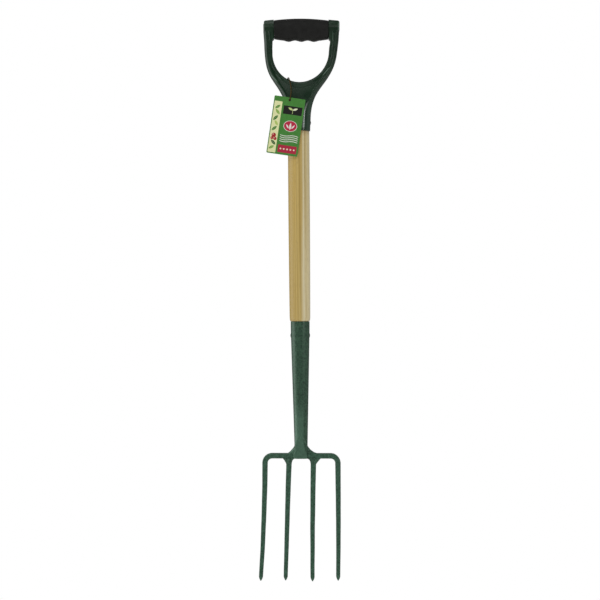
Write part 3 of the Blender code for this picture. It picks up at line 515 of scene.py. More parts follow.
def hammered_paint(name, dark, light, metallic=0.25, foot=None):
    """Green hammer paint: shallow dimples with lighter flow lines between them. A foot colour,
    where given, is painted light: the front of the flattened foot painted lighter, except its left
    flank.
    """
    finish, tree, feed = new_finish(name, metallic=metallic, coat_weight=0.25, coat_roughness=0.2)
    place = tree.place()
    bent = tree.node("ShaderNodeTexNoise", None, {"Vector": place, "Scale": 260, "Detail": 2}, 1)
    settings = {"operation": "MULTIPLY_ADD"}
    moved = tree.node("ShaderNodeVectorMath", settings, {0: bent, 1: (0.003,) * 3, 2: place})
    dimple = tree.cells(moved, 330)
    cloud = tree.noise(place, 130, 3, 0.6)
    speck = tree.noise(place, 900, 2, 0.6)
    tone = tree.rise(dimple * 0.6 + cloud * 0.6 + speck * 0.25, 0.30, 1.05)
    color = tree.mix(tone, dark, light)
    worn = tree.rise(tree.noise(place, 420, 4, 0.7), 0.66, 0.74)
    color = tree.mix(worn * 0.25, color, "6f8577")
    if foot:
        x, y, z = tree.parts(place)
        # painted light: the flattened foot's front painted lighter, its left flank left out
        edge = x - 0.006 * (1 - tree.rise(z, -0.747, -0.722))
        flat = (1 - tree.rise(z, -0.680, -0.640)) * (1 - tree.rise(edge, 0.0036, 0.0056))
        flat = flat * tree.rise(z + x, -0.7622, -0.7606)
        flank = (1 - tree.rise(x, -0.0125, -0.0085)) * tree.rise(z, -0.736, -0.724)
        flat = flat * (1 - 0.95 * flank)
        # painted light on the foot
        color = tree.mix(flat * tree.rise(y, 0, -0.004) * 0.38, color, foot)
    feed(
        base_color=color,
        roughness=0.26 + 0.22 * cloud,
        normal=tree.bump(dimple + speck * 0.25, 0.0005, 0.55),
    )
    return finish


def rivet_paint():
    """Painted steel rivets, rubbed bright in spots."""
    finish, tree, feed = new_finish("rivet_paint", metallic=0.5)
    place = tree.place()
    rub = tree.noise(place, 700, 4, 0.7)
    color = tree.mix(tree.rise(rub, 0.5, 0.72), "26392e", "66766c")
    feed(
        base_color=color,
        roughness=0.3 + 0.2 * rub,
        normal=tree.bump(tree.noise(place, 420, 2), 0.0003, 0.5),
    )
    return finish


def twine_fibre():
    """Brown twine: lighter fibres, with painted shade in the grooves between the strands and their
    ridges lighter.
    """
    finish, tree, feed = new_finish("twine_fibre", specular_ior_level=0.15)
    along = tree.node("ShaderNodeUVMap", {"uv_map": "strands"})
    u, v, w = tree.parts(along)
    strand = (u * 3).math("FRACT")
    crest = 1 - abs(strand - 0.5) * 2
    fibre = tree.noise(tree.scaled(along, (40, 2400, 1)), 1.0, 3, 0.7)
    # painted shade: dark between the strands, lighter on their ridges
    color = tree.mix(tree.rise(crest, 0.05, 0.7), "1d160a", "4f3f1d")
    color = tree.mix(tree.rise(fibre, 0.5, 0.75) * 0.6, color, "6a5430")
    feed(
        base_color=color,
        roughness=0.86,
        normal=tree.bump(fibre + crest * 0.5, 0.00015, 0.8),
    )
    return finish


def printed_card():
    """The tag's print over white card, drawn in millimetres from the card's lower left."""
    finish, tree, feed = new_finish("printed_card", coat_weight=0.12, coat_roughness=0.25)
    u, v, w = tree.parts(tree.node("ShaderNodeUVMap", {"uv_map": "print"}))
    place = tree.place()
    white, crimson, cream, lime = "f2f0e6", "c3123f", "f2e6c8", "c9dd8b"

    def under(value, limit, soft=0.12):
        return tree.rise(value, limit + soft, limit - soft)

    def disc(x, y, radius, stretch=1.0):
        dx, dy = u - x, (v - y) * stretch
        return under((dx * dx + dy * dy) ** 0.5, radius)

    def block(x0, y0, x1, y1):
        inside = abs(u - (x0 + x1) / 2) - (x1 - x0) / 2
        above = abs(v - (y0 + y1) / 2) - (y1 - y0) / 2
        return under(inside.math("MAXIMUM", above), 0)

    def leaf(x, y, length, width, turn):
        """A lens between two discs, turned by an angle."""
        c, s = math.cos(turn), math.sin(turn)
        along = (u - x) * c + (v - y) * s
        over = abs((v - y) * c - (u - x) * s)
        radius = (length * length + width * width) / (4 * width)
        over = over + (radius - width / 2)
        return under((along * along + over * over) ** 0.5, radius)

    # pale strip down the left side, with leaves and berries
    layers = [(block(1.6, 2.0, 15.6, 94.0), "eef0b4")]
    for x, y, length, width, turn, shade in (
        (8.4, 84, 11, 4.4, 0.7, "5f9a3a"),
        (9.6, 75, 12, 4.6, 2.3, "8db84a"),
        (7.4, 64, 12, 4.8, 0.9, "3f7f2c"),
        (9.8, 55, 11, 4.2, 2.2, "b7cf63"),
        (7.6, 45, 12, 4.6, 0.8, "4c8c34"),
        (9.4, 20, 12, 4.8, 2.4, "2f6424"),
        (7.2, 11, 11, 4.4, 0.6, "7fae45"),
    ):
        layers.append((leaf(x, y, length, width, turn), shade))
        layers.append((leaf(x, y, length * 0.9, 0.35, turn) * 0.7, "dfe8b0"))
    for x, y, radius in ((8.6, 33, 3.9), (6.0, 27.5, 2.6), (11.6, 27.0, 2.9)):
        layers.append((disc(x, y, radius), "b01a22"))
        layers.append((disc(x - radius / 3, y + radius / 3, radius / 4), "f0c8b8"))
    # dark band with a pale sprout, under the hole
    layers.append((block(19.0, 73.0, 52.5, 88.0), "15150f"))
    layers.append((block(35.5, 74.2, 36.2, 81.5), lime))
    layers.append((leaf(31.8, 83.0, 9.5, 3.6, 2.75), lime))
    layers.append((leaf(39.9, 83.0, 9.5, 3.6, 0.4), "e9f0c9"))
    # crimson disc with three white leaves, over white furrows
    layers.append((disc(35.5, 52.5, 12.2, 1.25), white))
    layers.append((disc(35.5, 52.5, 11.3, 1.25), crimson))
    for x, y, length, width, turn in (
        (35.5, 52.0, 13, 3.6, 1.571), (30.5, 51.5, 9, 2.6, 2.2), (40.5, 51.5, 9, 2.6, 0.94),
    ):
        layers.append((leaf(x, y, length, width, turn), white))
    bend = ((u - 35.5) * 0.20).math("SINE") * 1.1
    for y in (35.0, 31.5, 28.0, 24.5):
        layers.append((under(abs(v - y - bend), 0.55) * block(20.0, 20.0, 52.0, 40.0), white))
    # crimson foot band with pale seeds
    layers.append((block(19.0, 4.0, 52.5, 17.5), "b8123a"))
    layers += [(disc(23.8 + 6 * i, 10.7, 1.5), cream) for i in range(5)]

    color = tree.mix(tree.rise(tree.noise(place, 160, 3), 0.3, 0.75), "40872b", "478f37")
    for shape, shade in layers:
        color = tree.mix(shape, color, shade)
    printed = tree.rise(u, -0.6, -0.4)
    fibre = tree.noise(place, 1400, 3, 0.7)
    bare = tree.mix(tree.rise(fibre, 0.4, 0.7), "d8d4c6", "e4e1d6")
    feed(
        base_color=tree.mix(printed, bare, color),
        roughness=0.62 - 0.2 * printed + 0.05 * fibre,
        normal=tree.bump(fibre, 0.00005, 0.4),
    )
    return finish


# Making pieces

MERGE = 1e-6


def add_object(name, data):
    """A new object in the scene."""
    made = bpy.data.objects.new(name, data)
    bpy.context.scene.collection.objects.link(made)
    return made


def new_piece(name, mesh, finish, smooth_angle=38):
    """An object at the origin, with smooth faces and one finish."""
    mesh.materials.clear()
    mesh.materials.append(finish)
    mesh.shade_smooth()
    mesh.set_sharp_from_angle(angle=math.radians(smooth_angle))
    return add_object(name, mesh)


def filled(points, faces):
    """A bmesh of points and faces."""
    bm = bmesh.new()
    corners = [bm.verts.new(point) for point in points]
    for face in faces:
        bm.faces.new([corners[i] for i in face])
    return bm


def outward_mesh(name, bm):
    """A bmesh's mesh, with its normals outwards."""
    bmesh.ops.recalc_face_normals(bm, faces=bm.faces)
    mesh = bpy.data.meshes.new(name)
    bm.to_mesh(mesh)
    bm.free()
    return mesh


def closed_mesh(name, points, faces):
    """A mesh with its doubles merged."""
    bm = filled(points, faces)
    bmesh.ops.remove_doubles(bm, verts=bm.verts, dist=MERGE)
    return outward_mesh(name, bm)


def skin(rings):
    """Points and faces of a skin through rings, with a cap on each end."""
    rings = [np.asarray(ring, float) for ring in rings]
    count = len(rings[0])
    faces = []
    for start in range(0, (len(rings) - 1) * count, count):
        for i in range(count):
            after = (i + 1) % count
            faces.append((start + i, start + after, start + count + after, start + count + i))
    faces.append(tuple(range(count))[::-1])
    faces.append(tuple(range((len(rings) - 1) * count, len(rings) * count)))
    return np.vstack(rings), faces


def put(piece, body, slot, *nodes):
    """A piece rides on a body and stands for CAD nodes."""
    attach(piece, body)
    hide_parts(*nodes)
    return piece


def points_of(*columns):
    """Points from their coordinates, each a list or one value for all of them."""
    return np.stack(np.broadcast_arrays(*columns), axis=1)


def gone_along(line):
    """The length of a line up to each of its points."""
    return np.concatenate([[0], np.cumsum(np.linalg.norm(np.diff(line, axis=0), axis=1))])


def even(line, spacing):
    """The same line through evenly spaced points."""
    line = np.asarray(line, float)
    gone = gone_along(line)
    along = np.linspace(0, gone[-1], max(2, round(gone[-1] / spacing) + 1))
    return points_of(*[np.interp(along, gone, column) for column in line.T])


def share_of(value, low, high):
    """How far a value has come from low to high, between 0 and 1."""
    return np.clip((value - low) / (high - low), 0, 1)


def smooth(share):
    return share * share * (3 - 2 * share)


def ring_points(half_x, half_y, power, count):
    """Evenly spaced points round a superellipse."""
    turn = np.linspace(0, 2 * math.pi, 6 * count + 1)
    c, s = np.cos(turn), np.sin(turn)
    x = half_x * np.sign(c) * np.abs(c) ** (2 / power)
    y = half_y * np.sign(s) * np.abs(s) ** (2 / power)
    gone = gone_along(points_of(x, y))
    along = np.linspace(0, gone[-1], count + 1)[:-1]
    return np.interp(along, gone, x), np.interp(along, gone, y)


# The handle's form


def handle_middle(rise):
    return HANDLE_OFFSET * np.interp(rise, LEAN_RISES, LEAN_SHARES)


def opening_lean(rise):
    return np.interp(rise, OPENING_RISES, OPENING_SHIFTS)


def shoulder(rise):
    return 1 / (1 + np.exp(-(rise - CROTCH_RISE + SHOULDER_DROP) / SHOULDER_LENGTH))


def arm_line(rise):
    return ARM_SPREAD + ARM_LEAN * (np.minimum(rise, BLOCK_FOOT_RISE) - UNDERSIDE_RISE)


def half_width(rise):
    swell = NECK_SWELL * np.interp(rise, (0, 0.02, 0.125, 0.155), (0.5, 1.0, 1.0, 0.5))
    return COLLAR_RADIUS + swell + (arm_line(rise) - COLLAR_RADIUS) * shoulder(rise)


def half_depth(rise):
    thinned = 1 / (1 + np.exp(-(rise - COLLAR_THINS_AT) / THINNING_LENGTH))
    return COLLAR_RADIUS + (ARM_DEPTH / 2 - COLLAR_RADIUS) * thinned


def section_power(rise):
    return 2 + (ARM_SECTION - 2) * shoulder(rise)


def section_depth(across, rise):
    """The moulding's half thickness: round at the collar, with round outer flanks above."""
    wide, power, arms = half_width(rise), section_power(rise), shoulder(rise)
    share = np.minimum(1.0, np.abs(across) / wide)
    turned_part = (1 - share**power) ** (1 / power)
    left = np.clip((1 - share) * wide / (ARM_ROUND * edge_slant(rise)), 0, 1)
    flank = np.sqrt(np.maximum(0, 1 - (1 - left) ** 2)) * (0.955 + 0.045 * turned_part)
    return half_depth(rise) * (turned_part + (flank - turned_part) * arms)


def face_depth(across, rise):
    wide = half_width(rise)
    return section_depth(np.minimum(np.abs(across), 0.995 * wide), rise)


def edge_slant(rise):
    slope = (half_width(rise + 0.001) - half_width(rise - 0.001)) / 0.002
    return np.hypot(1, slope)


def opening_line():
    """The right half of the hand opening, from the crotch up."""
    arch_top = CROTCH_RISE + OPENING_ROUND
    widest = arm_line(arch_top) - ARM_WIDTH
    turn = np.linspace(0, math.pi / 2, 60)
    points = list(zip(widest * np.sin(turn), arch_top - OPENING_ROUND * np.cos(turn)))
    ledge = UNDERSIDE_RISE + GRIP_END_RISE
    side = arm_line(ledge - OPENING_FILLET) - ARM_WIDTH
    turn = np.linspace(0, math.pi / 2, 10)
    across = GRIP_SPACE + (side - GRIP_SPACE) * np.cos(turn)
    points += list(zip(across, ledge - OPENING_FILLET * (1 - np.sin(turn))))
    points.append((GRIP_SPACE, ARM_TOP_RISE))
    return np.array(points)


def softened(line, reach, step=0.0003):
    """A line with its corners rounded, square to the middle at both ends."""
    fine = even(line, step)
    pad = int(3 * reach / step)
    mirror = np.array([-1, 1])
    long = np.vstack([fine[1 : pad + 1][::-1] * mirror, fine, fine[-pad - 1 : -1][::-1] * mirror])
    kernel = np.exp(-0.5 * (np.arange(-pad, pad + 1) * step / reach) ** 2)
    kernel /= kernel.sum()
    return points_of(*[np.convolve(column, kernel, "valid") for column in long.T])


def recess_line():
    """The right half of the sunk web and arm channel's outline, from its foot round."""
    foot_top = RECESS_FOOT + RECESS_FOOT_ROUND

    def outer(rise):
        return half_width(rise) - OUTER_RIM * edge_slant(rise)

    points = [(0, RECESS_FOOT)]
    for turn in np.linspace(0, math.pi / 2, 30):
        rise = foot_top - RECESS_FOOT_ROUND * math.cos(turn)
        points.append((outer(rise) * max(RECESS_FOOT_FLAT, math.sin(turn)), rise))
    for rise in np.arange(foot_top, RECESS_TOP, 0.001):
        points.append((outer(rise), rise))
    points.append((outer(RECESS_TOP), RECESS_TOP))
    arch_top = CROTCH_RISE + OPENING_ROUND
    for rise in np.arange(RECESS_TOP, arch_top, -0.001):
        points.append((arm_line(rise) - ARM_WIDTH + RIM, rise))
    widest = arm_line(arch_top) - ARM_WIDTH + RIM
    for turn in np.linspace(math.pi / 2, 0, 60):
        points.append((widest * math.sin(turn), arch_top - (OPENING_ROUND + RIM) * math.cos(turn)))
    line = softened(points, 0.0013)
    line[0, 0] = line[-1, 0] = 0.0
    return line


def set_off(line, distance):
    """A line moved to its own left, by one distance or by one for each point."""
    along = np.gradient(line, axis=0)
    along /= np.linalg.norm(along, axis=1)[:, None]
    left = points_of(-along[:, 1], along[:, 0])
    moved = line + left * np.reshape(distance, (-1, 1))
    for end in (0, -1):
        if line[end, 0] == 0:
            moved[end, 0] = 0.0
    return moved


def distance_to(points, line):
    best = np.full(len(points), 1.0)
    for start, step in zip(line[:-1], np.diff(line, axis=0)):
        share = np.clip((points - start) @ step / (step @ step), 0, 1)
        gap = points - start - share[:, None] * step
        best = np.minimum(best, np.hypot(gap[:, 0], gap[:, 1]))
    return best


def is_inside(points, loop):
    x, y = points.T
    odd = np.zeros(len(points), bool)
    for (x0, y0), (x1, y1) in zip(loop, np.roll(loop, -1, axis=0)):
        if y0 != y1:
            crossing = ((y0 > y) != (y1 > y)) & (x < x0 + (y - y0) * (x1 - x0) / (y1 - y0))
            odd ^= crossing
    return odd


def flat_net(points, edges):
    """Flat triangles that keep every edge, with their middles."""
    net, _, faces, *_ = geometry.delaunay_2d_cdt([Vector(p) for p in points], edges, [], 0, 1e-7)
    net = np.array([tuple(point) for point in net])
    faces = np.array([face for face in faces if len(face) == 3])
    return net, faces, net[faces].mean(axis=1)


def recess_wall(points):
    """The width of the recess's slope, softer under the opening's lowest part."""
    across, rise = points.T
    soft = np.clip(1.4 - np.abs(across) / 0.020, 0, 1) * (rise > CROTCH_RISE - 0.016)
    return RECESS_WALL + (RECESS_SOFT_WALL - RECESS_WALL) * soft


def yoke_sheet():
    """The right half of a face, as a flat net that follows every edge of the moulding."""
    opening = even(opening_line(), 0.0010)
    recess = even(recess_line(), 0.0010)
    recess[0, 0] = recess[-1, 0] = 0.0
    rises = np.concatenate([
        np.arange(COLLAR_CHAMFER, 0.060, 0.0020), np.arange(0.060, ARM_TOP_RISE, 0.0012),
    ])
    rises = np.append(rises[:-1], ARM_TOP_RISE)
    side = points_of(half_width(rises) - FLANK_BAND * edge_slant(rises), rises)
    low = points_of(np.linspace(0, side[0, 0], 14), COLLAR_CHAMFER)
    top = points_of(np.linspace(GRIP_SPACE, side[-1, 0], 12), ARM_TOP_RISE)
    seam = points_of(0.0, np.arange(COLLAR_CHAMFER, CROTCH_RISE, 0.0012))

    roll = np.where(opening[:, 1] < UNDERSIDE_RISE, EDGE_ROLL, LEDGE_ROLL)
    roll = np.convolve(np.pad(roll, 3, "edge"), np.ones(7) / 7, "valid")
    turns = np.radians([0, 22.5, 45, 67.5, 90])
    lines = [set_off(opening, -roll * (1 - np.cos(turn))) for turn in turns]
    wall = recess_wall(recess)
    lines += [set_off(recess, wall * share) for share in (0, 0.1, 0.2, 0.5, 0.8, 0.9, 1)]
    rib_rises = np.arange(RIB_FOOT, RIB_TOP, 0.0006)
    ribs = [points_of(RIB_PLACE + RIB_HALF * share, rib_rises) for share in (-1, -0.5, 0, 0.5, 1)]
    lines += [side, low, top, *ribs]
    loop = np.vstack([low, side[1:], top[::-1][1:], opening[::-1]])

    tree = kdtree.KDTree(sum(len(line) for line in lines) + len(seam))
    for i, (x, rise) in enumerate(np.vstack(lines)):
        tree.insert((x, rise, 0), i)
    tree.balance()
    free = []
    for rise in np.arange(COLLAR_CHAMFER + 0.0025, RECESS_FOOT, 0.0025):
        across = half_width(rise) * np.sin(np.radians(np.arange(6, 66, 6)))
        free += [(x, rise) for x in across]
    for row, rise in enumerate(np.arange(RECESS_FOOT, ARM_TOP_RISE, NET_STEP)):
        start = 0.0009 + NET_STEP / 2 * (row % 2)
        free += [(x, rise) for x in np.arange(start, NET_REACH, NET_STEP)]
    free = np.vstack([free, seam])
    free = free[is_inside(free + [1e-5, 0], loop)]
    near = np.array([tree.find((x, rise, 0))[2] for x, rise in free])
    free = free[near > 0.0007]
    # the opening's and the recess's lines keep to the right half
    for line in lines[:12]:
        line[:, 0] = np.maximum(line[:, 0], 0.0)

    points, edges = [], []
    for line in lines:
        edges += [(len(points) + i, len(points) + i + 1) for i in range(len(line) - 1)]
        points += [tuple(point) for point in line]
    points += [tuple(point) for point in free]
    net, faces, middles = flat_net(points, edges)
    return net, faces[is_inside(middles, loop)], side, opening, recess


def eased(share):
    """A straight slope from 0 to 1 with both ends rounded."""
    high = np.where(share > 0.8, 1 - (1 - share) ** 2 / 0.32, (share - 0.1) / 0.8)
    return np.where(share < 0.2, share**2 / 0.32, high)


def yoke_depth(points, opening, recess):
    """How far the moulded face stands from the middle plane at each point of the net."""
    across, rise = points.T
    depth = face_depth(across, rise)
    foot_share = np.clip(1 - (rise - RECESS_FOOT) / RECESS_FOOT_ROUND, 0, 1)
    spread = np.maximum(RECESS_FOOT_FLAT, np.sqrt(1 - foot_share**2))
    outer = (half_width(rise) - OUTER_RIM * edge_slant(rise)) * spread
    sink = RECESS_DEPTH * (1 - 0.6 * share_of(rise, *RECESS_SHALLOWS))
    floor = (depth + face_depth(outer, rise)) / 2 - sink
    sunk = eased(np.clip(distance_to(points, recess) / recess_wall(points), 0, 1))
    depth = depth + (floor - depth) * np.where(is_inside(points, recess), sunk, 0)
    crest = np.clip(1 - ((across - RIB_PLACE) / RIB_HALF) ** 2, 0, 1)
    ends = np.clip(np.minimum((rise - RIB_FOOT) / 0.006, (RIB_TOP - rise) / 0.001), 0, 1)
    depth = depth + RIB_HEIGHT * crest * ends
    roll = np.where(rise < UNDERSIDE_RISE, EDGE_ROLL, LEDGE_ROLL)
    left = np.clip(1 - distance_to(points, opening) / roll, 0, 1)
    return depth - roll * (1 - np.sqrt(1 - left**2))


def corner_block(hand):
    """A cap block over an arm's top, rounded all round except against the grip."""
    bm = bmesh.new()
    inner = hand * GRIP_SPACE + HANDLE_OFFSET
    for corner in bmesh.ops.create_cube(bm, size=1)["verts"]:
        out, up = corner.co.x > 0, corner.co.z > 0
        rise = UNDERSIDE_RISE + BLOCK_RISE - (0 if up else BLOCK_HEIGHT)
        rise -= BLOCK_FALL if up and out else 0
        x = inner + hand * BLOCK_WIDTHS[hand] * out
        corner.co = (x, corner.co.y * BLOCK_DEPTH, rise)

    def against_grip(edge):
        return all(abs(corner.co.x - inner) < 1e-5 for corner in edge.verts)

    round_edges = [edge for edge in bm.edges if not against_grip(edge)]
    bmesh.ops.recalc_face_normals(bm, faces=bm.faces)
    bmesh.ops.bevel(
        bm, geom=round_edges, offset=BLOCK_ROUND, segments=7, profile=0.5, affect="EDGES"
    )
    cuts = [BEAD_RISE + step * BEAD_HALF for step in np.linspace(-1, 1, 7)]
    cuts += [PANEL_TOP - step * PANEL_STEP for step in (0, 0.5, 1)]
    for rise in cuts:
        everything = bm.verts[:] + bm.edges[:] + bm.faces[:]
        bmesh.ops.bisect_plane(bm, geom=everything, plane_no=(0, 0, 1), plane_co=(0, 0, rise))
    for corner in bm.verts:
        swell = max(0.0, 1 - ((corner.co.z - BEAD_RISE) / BEAD_HALF) ** 2)
        sunk = share_of(corner.co.z, PANEL_TOP, PANEL_TOP - PANEL_STEP)
        if abs(corner.co.y) > BLOCK_DEPTH / 2 - 1.5 * BLOCK_ROUND:
            push = BEAD_HEIGHT * swell - PANEL_DEPTH * sunk
            corner.co.y += push * math.copysign(1, corner.co.y)
    return outward_mesh("block", bm)


def build_yoke(finish):
    """The handle's moulding: collar, recessed neck, arms and corner blocks."""
    net, faces, side, opening, recess = yoke_sheet()
    depth = yoke_depth(net, opening, recess)
    points, polygons = [], []

    def add(across, depths, rises, new_faces):
        start = len(points)
        near_opening = np.clip(5 - 5 * np.abs(across) / half_width(rises), 0, 1)
        x = across + handle_middle(rises) + near_opening * opening_lean(rises)
        points.extend(zip(x.tolist(), depths.tolist(), (rises + COLLAR_END_Z).tolist()))
        polygons.extend([[start + i for i in face] for face in new_faces])

    for hand in (-1, 1):
        for face_side in (-1, 1):
            add(hand * net[:, 0], face_side * depth, net[:, 1], faces.tolist())

    across, depths, rises = [], [], []
    columns = 27
    for edge, rise in side:
        x = edge + (half_width(rise) - edge) * np.sin(np.linspace(0, math.pi / 2, 200))
        y = section_depth(x, rise)
        gone = gone_along(points_of(x, y))
        along = np.linspace(0, gone[-1], columns // 2 + 1)
        x, y = np.interp(along, gone, x), np.interp(along, gone, y)
        x[0], y[0] = edge, face_depth(edge, rise)
        across.append(np.concatenate([x, x[:-1][::-1]]))
        depths.append(np.concatenate([-y, y[:-1][::-1]]))
        rises.append(np.full(columns, rise))
    strip = grid_faces(len(side), columns)
    for hand in (-1, 1):
        add(hand * np.concatenate(across), np.concatenate(depths), np.concatenate(rises), strip)

    wall = yoke_depth(opening, opening, recess)
    steps = np.linspace(-1, 1, 7)
    depths = (wall[:, None] * steps).ravel()
    across = np.repeat(opening[:, 0], 7)
    rises = np.repeat(opening[:, 1], 7)
    for hand in (-1, 1):
        add(hand * across, depths, rises, grid_faces(len(opening), 7))

    bm = filled(points, polygons)
    bmesh.ops.remove_doubles(bm, verts=bm.verts, dist=0.000004)
    middle_z = COLLAR_END_Z + CROTCH_RISE
    rims = [edge for edge in bm.edges if edge.is_boundary]
    low = [edge for edge in rims if edge.verts[0].co.z < middle_z]
    high = [edge for edge in rims if edge.verts[0].co.z >= middle_z]
    drawn = bmesh.ops.extrude_edge_only(bm, edges=low)["geom"]
    for corner in drawn:
        if isinstance(corner, bmesh.types.BMVert):
            corner.co.z -= COLLAR_CHAMFER
            corner.co.xy *= 1 - COLLAR_CHAMFER / COLLAR_RADIUS
    low = [item for item in drawn if isinstance(item, bmesh.types.BMEdge)]
    bmesh.ops.holes_fill(bm, edges=[edge for edge in low + high if edge.is_boundary])
    for hand in (-1, 1):
        block = corner_block(hand)
        block.transform(Matrix.Translation((0, 0, COLLAR_END_Z)))
        bm.from_mesh(block)
        bpy.data.meshes.remove(block)
    mesh = outward_mesh("yoke_moulding", bm)
    lean(mesh, HANDLE_TILT, COLLAR_END_Z + 0.02, COLLAR_END_Z + 0.08)
    return put(new_piece("yoke_moulding", mesh, finish), "fork", "yoke_green", "handle_yoke")


def lean(mesh, slope, low, high):
    """Tilts what stands above a height, sideways and gradually, as the specimen is."""
    for corner in mesh.vertices:
        corner.co.z += slope * corner.co.x * share_of(corner.co.z, low, high)


def grid_faces(rows, columns):
    faces = []
    for row in range(rows - 1):
        for i in range(columns - 1):
            first = row * columns + i
            faces.append((first, first + 1, first + columns + 1, first + columns))
    return faces


def build_grip(finish):
    """The soft grip: a crowned top, finger waves below and softly rounded ends."""
    half = GRIP_LENGTH / 2
    rings = []
    for x in np.concatenate([[-half, -half + 0.0003, -half + 0.0009],
                             np.linspace(-half + 0.002, half - 0.002, 150),
                             [half - 0.0009, half - 0.0003, half]]):
        inset = max(0.0, 1 - (half - abs(x)) / 0.0012)
        pull = 0.0009 * (1 - math.sqrt(max(0.0, 1 - inset**2)))
        top = BLOCK_RISE + GRIP_CROWN * (1 - (x / half) ** 2)
        wave = (1 - math.cos(2 * math.pi * x / FINGER_PITCH)) / 2
        ends = max(0.0, abs(x) - 1.5 * FINGER_PITCH) / (half - 1.5 * FINGER_PITCH)
        wave = 1.0 if ends > 0 else wave
        bottom = FINGER_WAVE * wave + (GRIP_END_RISE - FINGER_WAVE) * ends**2
        bottom -= GRIP_SAG * (1 - 1.6 * ends)
        middle, tall = (top + bottom) / 2, (top - bottom) / 2
        y, z = ring_points(GRIP_DEPTH / 2 - pull, tall - pull, GRIP_SECTION, 96)
        low = np.maximum(0.0, -z / tall)
        pinch = 1 - FINGER_HOLLOW / (GRIP_DEPTH / 2) * wave * np.sin(np.pi * low) ** 2
        rings.append(points_of(x + HANDLE_OFFSET, y * pinch, middle + z))
    mesh = closed_mesh("soft_grip", *skin(rings))
    lean(mesh, GRIP_TILT, -0.2, -0.1)
    return put(new_piece("soft_grip", mesh, finish), "fork", "grip_black", "grip_sleeve")


def build_shaft(finish):
    """The ash shaft, from inside the collar to inside the socket's rim."""
    end = COLLAR_END_Z
    profile = [(TENON_RADIUS, end + 0.020), (TENON_RADIUS, end - 0.0003)]
    profile += [(SHAFT_RADIUS - 0.0006, end - 0.0003), (SHAFT_RADIUS, end - 0.0012)]
    profile += [(SHAFT_RADIUS, end - drop) for drop in np.linspace(0.006, SHAFT_STRAIGHT, 20)]
    low = SHAFT_SHOWING - 0.0003
    narrowing = low - SHAFT_SHOULDER - SHAFT_STRAIGHT
    for share in np.linspace(0.04, 1, 24):
        radius = SHAFT_RADIUS + (SHAFT_FOOT_RADIUS - SHAFT_RADIUS) * share**1.5
        profile.append((radius, end - SHAFT_STRAIGHT - narrowing * share))
    for turn in np.linspace(0.1, math.pi / 2, 12):
        radius = SOCKET_RIM_RADIUS + (SHAFT_FOOT_RADIUS - SOCKET_RIM_RADIUS) * math.cos(turn)
        profile.append((radius, end - low + SHAFT_SHOULDER * (1 - math.sin(turn))))
    profile += [(TENON_RADIUS + 0.0003, end - low), (TENON_RADIUS, end - low - 0.060)]
    turn = np.linspace(0, 2 * math.pi, 128, endpoint=False)
    c, s = np.cos(turn), np.sin(turn)
    rings = [points_of(radius * c + SHAFT_SHIFT, radius * s, z) for radius, z in profile]
    mesh = closed_mesh("ash_shaft", *skin(rings))
    return put(new_piece("ash_shaft", mesh, finish, 50), "fork", "ash", "shaft")


def socket_radius(drop):
    taper_end = SOCKET_LENGTH - NECK_RISE
    if drop < TAPER_START:
        return SOCKET_RIM_RADIUS + (TAPER_RADIUS - SOCKET_RIM_RADIUS) * (drop / TAPER_START) ** 2
    share = min(1.0, (drop - TAPER_START) / (taper_end - TAPER_START))
    return TAPER_RADIUS + (NECK_RADIUS - TAPER_RADIUS) * share


def foot_flare(drop):
    """How far the flattened foot spreads at its left, down to a rounded corner."""
    spread = share_of(drop - SOCKET_LENGTH, *TONGUE_SPREADS)
    foot = SOCKET_LENGTH + TONGUE_LENGTH
    corner = share_of(drop, foot - TONGUE_CORNER, foot)
    return TONGUE_FLARE * smooth(spread) - TONGUE_CORNER * (1 - math.sqrt(1 - corner**2))


def build_socket(finish):
    """The tapered socket, with a turned lip, a slight waver and its flattened foot."""
    foot = SOCKET_LENGTH + TONGUE_LENGTH
    flat_start = SOCKET_LENGTH - NECK_RISE - FLATTENING / 2
    drops = [*np.arange(0.003, flat_start, 0.003), *np.linspace(flat_start, foot - 0.0012, 34)]
    lip = [(0.0006, 0.0022), (0.0, 0.0018), (0.0, 0.0006), (0.0003, 0.0002), (0.0009, 0.0)]
    profile = lip + [(drop, 0.0) for drop in drops] + [(foot - 0.0004, 0.0004), (foot, 0.0012)]
    rings = []
    for drop, inset in profile:
        flat = smooth(share_of(drop, flat_start, flat_start + FLATTENING))
        radius = socket_radius(drop)
        deep = radius + (SADDLE_DEPTH - NECK_RADIUS) * flat
        power = 2 + (SADDLE_SECTION - 2) * flat
        x, y = ring_points(radius - inset, deep - inset, power, 112)
        x = np.where(x < 0, x * (1 + foot_flare(drop) / radius), x)
        waver = noise.noise(Vector((0, 0, drop * 14))) * 0.0001
        rings.append(points_of(x + waver, y, RIM_Z - drop))
    mesh = closed_mesh("tapered_socket", *skin(rings))
    return put(new_piece("tapered_socket", mesh, finish), "fork", "hammered_green", "socket")


# The head's bars, as one form along a path


def new_form(name, inputs):
    """An empty geometry tree with named inputs."""
    group = bpy.data.node_groups.new(name, "GeometryNodeTree")
    group.interface.new_socket("Geometry", in_out="INPUT", socket_type="NodeSocketGeometry")
    for label, kind in inputs.items():
        group.interface.new_socket(label, in_out="INPUT", socket_type=f"NodeSocket{kind}")
    group.interface.new_socket("Geometry", in_out="OUTPUT", socket_type="NodeSocketGeometry")
    tree = Tree(group)
    entry = tree.node("NodeGroupInput")
    ports = {socket.name: Wire(tree, socket) for socket in entry.socket.node.outputs}
    return group, tree, ports


def close_form(tree, wire, finish):
    """Ends a form: real geometry, smooth, with its finish."""
    wire = tree.node("GeometryNodeRealizeInstances", None, {0: wire})
    wire = tree.node("GeometryNodeSetMaterial", None, {"Geometry": wire, "Material": finish})
    exit_node = tree.owner.nodes.new("NodeGroupOutput")
    tree.owner.links.new(wire.socket, exit_node.inputs[0])


